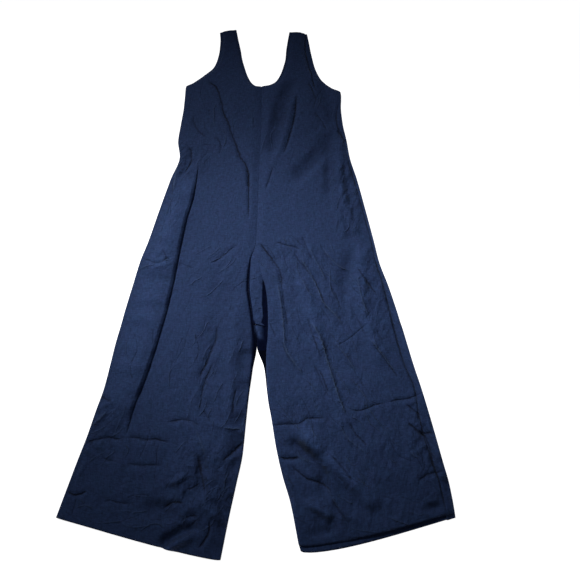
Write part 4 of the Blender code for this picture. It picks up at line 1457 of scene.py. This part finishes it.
class StageSettings(bpy.types.PropertyGroup):
    """Light, floor and camera."""

    key: amount("Key light", "Power of the narrow beam in watts", 165.0, high=1000.0)
    fill: amount("Fill", "Strength of the light from all around", 0.07, high=5.0)
    glow: amount("Floor glow", "How far the pale floor shines by itself", 0.95, high=2.0)
    floor: tone("Floor", "Colour of the floor", 0.92, 0.92, 0.92)
    lens: amount("Lens", "Focal length in millimetres", 27.37, 10.0, 200.0)
    height: metres("Camera height", "Height over the floor", 1.039, 0.2, 5.0)
    tilt: amount("Camera tilt", "Tilt from straight down", math.radians(17.0), high=1.5,
                 subtype="ANGLE")


# ---------------------------------------------------------------- operators

HALVES = {"right": RIGHT_HALF, "left": LEFT_HALF}


def front_half(name, cloth):
    """A half as its front is cut: the left front ends above the hem of its back."""
    sections = [s for s in HALVES[name] if s.place != "back hem"]
    return Half(name, sections, cloth, FRONT_STEP)


def seat(piece, *nodes):
    """Rides a piece on the garment and hides the solids it dresses."""
    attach(piece, "root")
    if nodes:
        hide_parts(*nodes)


class JUMPSUIT_OT_backs(bpy.types.Operator):
    """Makes the two back panels, which lie flat and turn up at the sides."""

    bl_idname = "jumpsuit.backs"
    bl_label = "Back panels"

    def execute(self, context):
        cloth = context.scene.jumpsuit_cloth
        outside, inside = cloth_materials(cloth)
        for name, sections in HALVES.items():
            half = Half(name, sections, cloth, BACK_STEP)
            grid, u, painted_shade = half.back_points()
            # the outside of the cloth shows at the neck, in the fork and on the turned hem;
            # elsewhere the inside shows, in its colour painted darker as shade
            height = half.rows.in_y[:, 0]
            facing = (height > BACK_NECK) | ((height > BACK_FORK) & (height < TONGUE_END))
            facing |= half.from_hem[:, 0] < cloth.hem_depth / MM
            piece = cloth_piece(f"{name}_back_cloth", grid, half.grain("back", u), half.rows.down,
                                name == "left", [outside, inside, outside, outside], cloth.wall,
                                painted_shade, facing)
            seat(piece, f"back_{name}")
        return {"FINISHED"}


class JUMPSUIT_OT_stitching(bpy.types.Operator):
    """Sews the stitches along the necks, armholes and hems of the fronts."""

    bl_idname = "jumpsuit.stitching"
    bl_label = "Stitching"

    def execute(self, context):
        cloth, stitches = context.scene.jumpsuit_cloth, context.scene.jumpsuit_stitches
        tree, material = stitch_tree(), thread_material(stitches)
        for name in HALVES:
            lines = stitch_lines(front_half(name, cloth), cloth)
            seat(stitch_piece(f"{name}_stitching", lines, tree, material, stitches))
        return {"FINISHED"}


class JUMPSUIT_OT_fronts(bpy.types.Operator):
    """Makes the two front panels with their creases."""

    bl_idname = "jumpsuit.fronts"
    bl_label = "Front panels"

    def execute(self, context):
        cloth = context.scene.jumpsuit_cloth
        for name in HALVES:
            half = front_half(name, cloth)
            grid, u, painted_shade = half.front_points()
            piece = cloth_piece(f"{name}_front_cloth", grid, half.grain("front", u),
                                half.rows.down, name == "right", cloth_materials(cloth),
                                cloth.wall, painted_shade)
            seat(piece, f"front_{name}")
        return {"FINISHED"}


# One lamp head high above the shoulders: a narrow and a wide beam, and a weak one for each leg.
# Share of the key light's power, cone in degrees, and the place that the beam is aimed at.
LAMP_PLACE = np.array([-1.01, 1.26, 1.855])
BEAMS = {
    "narrow_beam": (1.0, 19.0, (0.02, -0.12, 0.0)),
    "wide_beam": (0.58, 40.7, (0.02, -0.17, 0.0)),
    "left_leg_beam": (0.24, 10.0, (0.18, -0.24, 0.0)),
    "right_leg_beam": (0.14, 8.5, (-0.29, -0.21, 0.0)),
}
FLOOR_REACH, FLOOR_DEPTH = 6.0, -0.0006
CAMERA_PLACE = (0.0727, -0.432)


class JUMPSUIT_OT_stage(bpy.types.Operator):
    """Lays the floor and sets the light and the camera."""

    bl_idname = "jumpsuit.stage"
    bl_label = "Floor, light and camera"

    def execute(self, context):
        stage, scene = context.scene.jumpsuit_stage, context.scene
        mesh = bpy.data.meshes.new("floor")
        corners = [(x * FLOOR_REACH, y * FLOOR_REACH, FLOOR_DEPTH)
                   for x, y in ((-1, -1), (1, -1), (1, 1), (-1, 1))]
        mesh.from_pydata(corners, [], [(0, 1, 2, 3)])
        material, w = new_material("pale floor")
        w.fill(w.nodes["Principled BSDF"], {
            "Base Color": (*stage.floor, 1.0),
            "Roughness": 0.9,
            "Specular IOR Level": 0.1,
            "Emission Color": (1.0, 1.0, 1.0, 1.0),
            "Emission Strength": stage.glow,
        })
        mesh.materials.append(material)
        linked("floor", mesh)

        scene.world = bpy.data.worlds.new("soft room")
        scene.world.use_nodes = True
        w = Tree(scene.world.node_tree)
        w.fill(w.nodes["Background"],
               {"Color": (0.92, 0.95, 1.0, 1.0), "Strength": stage.fill})

        for name, (power, cone, target) in BEAMS.items():
            lamp = bpy.data.lights.new(name, "SPOT")
            lamp.energy = power * stage.key
            lamp.spot_size = math.radians(cone)
            lamp.spot_blend = 1.0
            lamp.shadow_soft_size = 0.12
            beam = linked(name, lamp)
            beam.location = LAMP_PLACE
            aim = target - LAMP_PLACE
            level = math.hypot(aim[0], aim[1])
            beam.rotation_euler = (math.atan2(level, -aim[2]), 0.0, math.atan2(-aim[0], aim[1]))
            beam.scale = (1.21, 1.0, 1.0)

        lens = bpy.data.cameras.new("camera")
        lens.sensor_width = 36.0
        lens.lens = stage.lens
        lens.clip_start = 0.01
        scene.camera = linked("camera", lens)
        scene.camera.location = (*CAMERA_PLACE, stage.height)
        scene.camera.rotation_euler = (stage.tilt, 0.0, 0.0)
        scene.view_settings.view_transform = "Standard"
        return {"FINISHED"}


class JUMPSUIT_PT_sidebar(bpy.types.Panel):
    """Lists the steps and the settings."""

    bl_label = "Jumpsuit"
    bl_idname = "JUMPSUIT_PT_sidebar"
    bl_space_type = "VIEW_3D"
    bl_region_type = "UI"
    bl_category = "Jumpsuit"

    def draw(self, context):
        for step in STEPS:
            self.layout.operator(step.bl_idname)
        for name in SETTINGS:
            box = self.layout.box()
            group = getattr(context.scene, name)
            for field in group.bl_rna.properties.keys():
                if field not in ("rna_type", "name"):
                    box.prop(group, field)


STEPS = (JUMPSUIT_OT_backs, JUMPSUIT_OT_stitching, JUMPSUIT_OT_fronts, JUMPSUIT_OT_stage)
SETTINGS = {
    "jumpsuit_cloth": ClothSettings,
    "jumpsuit_stitches": StitchSettings,
    "jumpsuit_stage": StageSettings,
}


def register():
    for kind in (*SETTINGS.values(), *STEPS, JUMPSUIT_PT_sidebar):
        bpy.utils.register_class(kind)
    for name, kind in SETTINGS.items():
        setattr(bpy.types.Scene, name, PointerProperty(type=kind))


def unregister():
    for name in SETTINGS:
        delattr(bpy.types.Scene, name)
    for kind in (JUMPSUIT_PT_sidebar, *STEPS, *SETTINGS.values()):
        bpy.utils.unregister_class(kind)


def main():
    register()
    bpy.ops.jumpsuit.backs()
    bpy.ops.jumpsuit.stitching()
    bpy.ops.jumpsuit.fronts()
    bpy.ops.jumpsuit.stage()


if __name__ == "__main__":
    main()
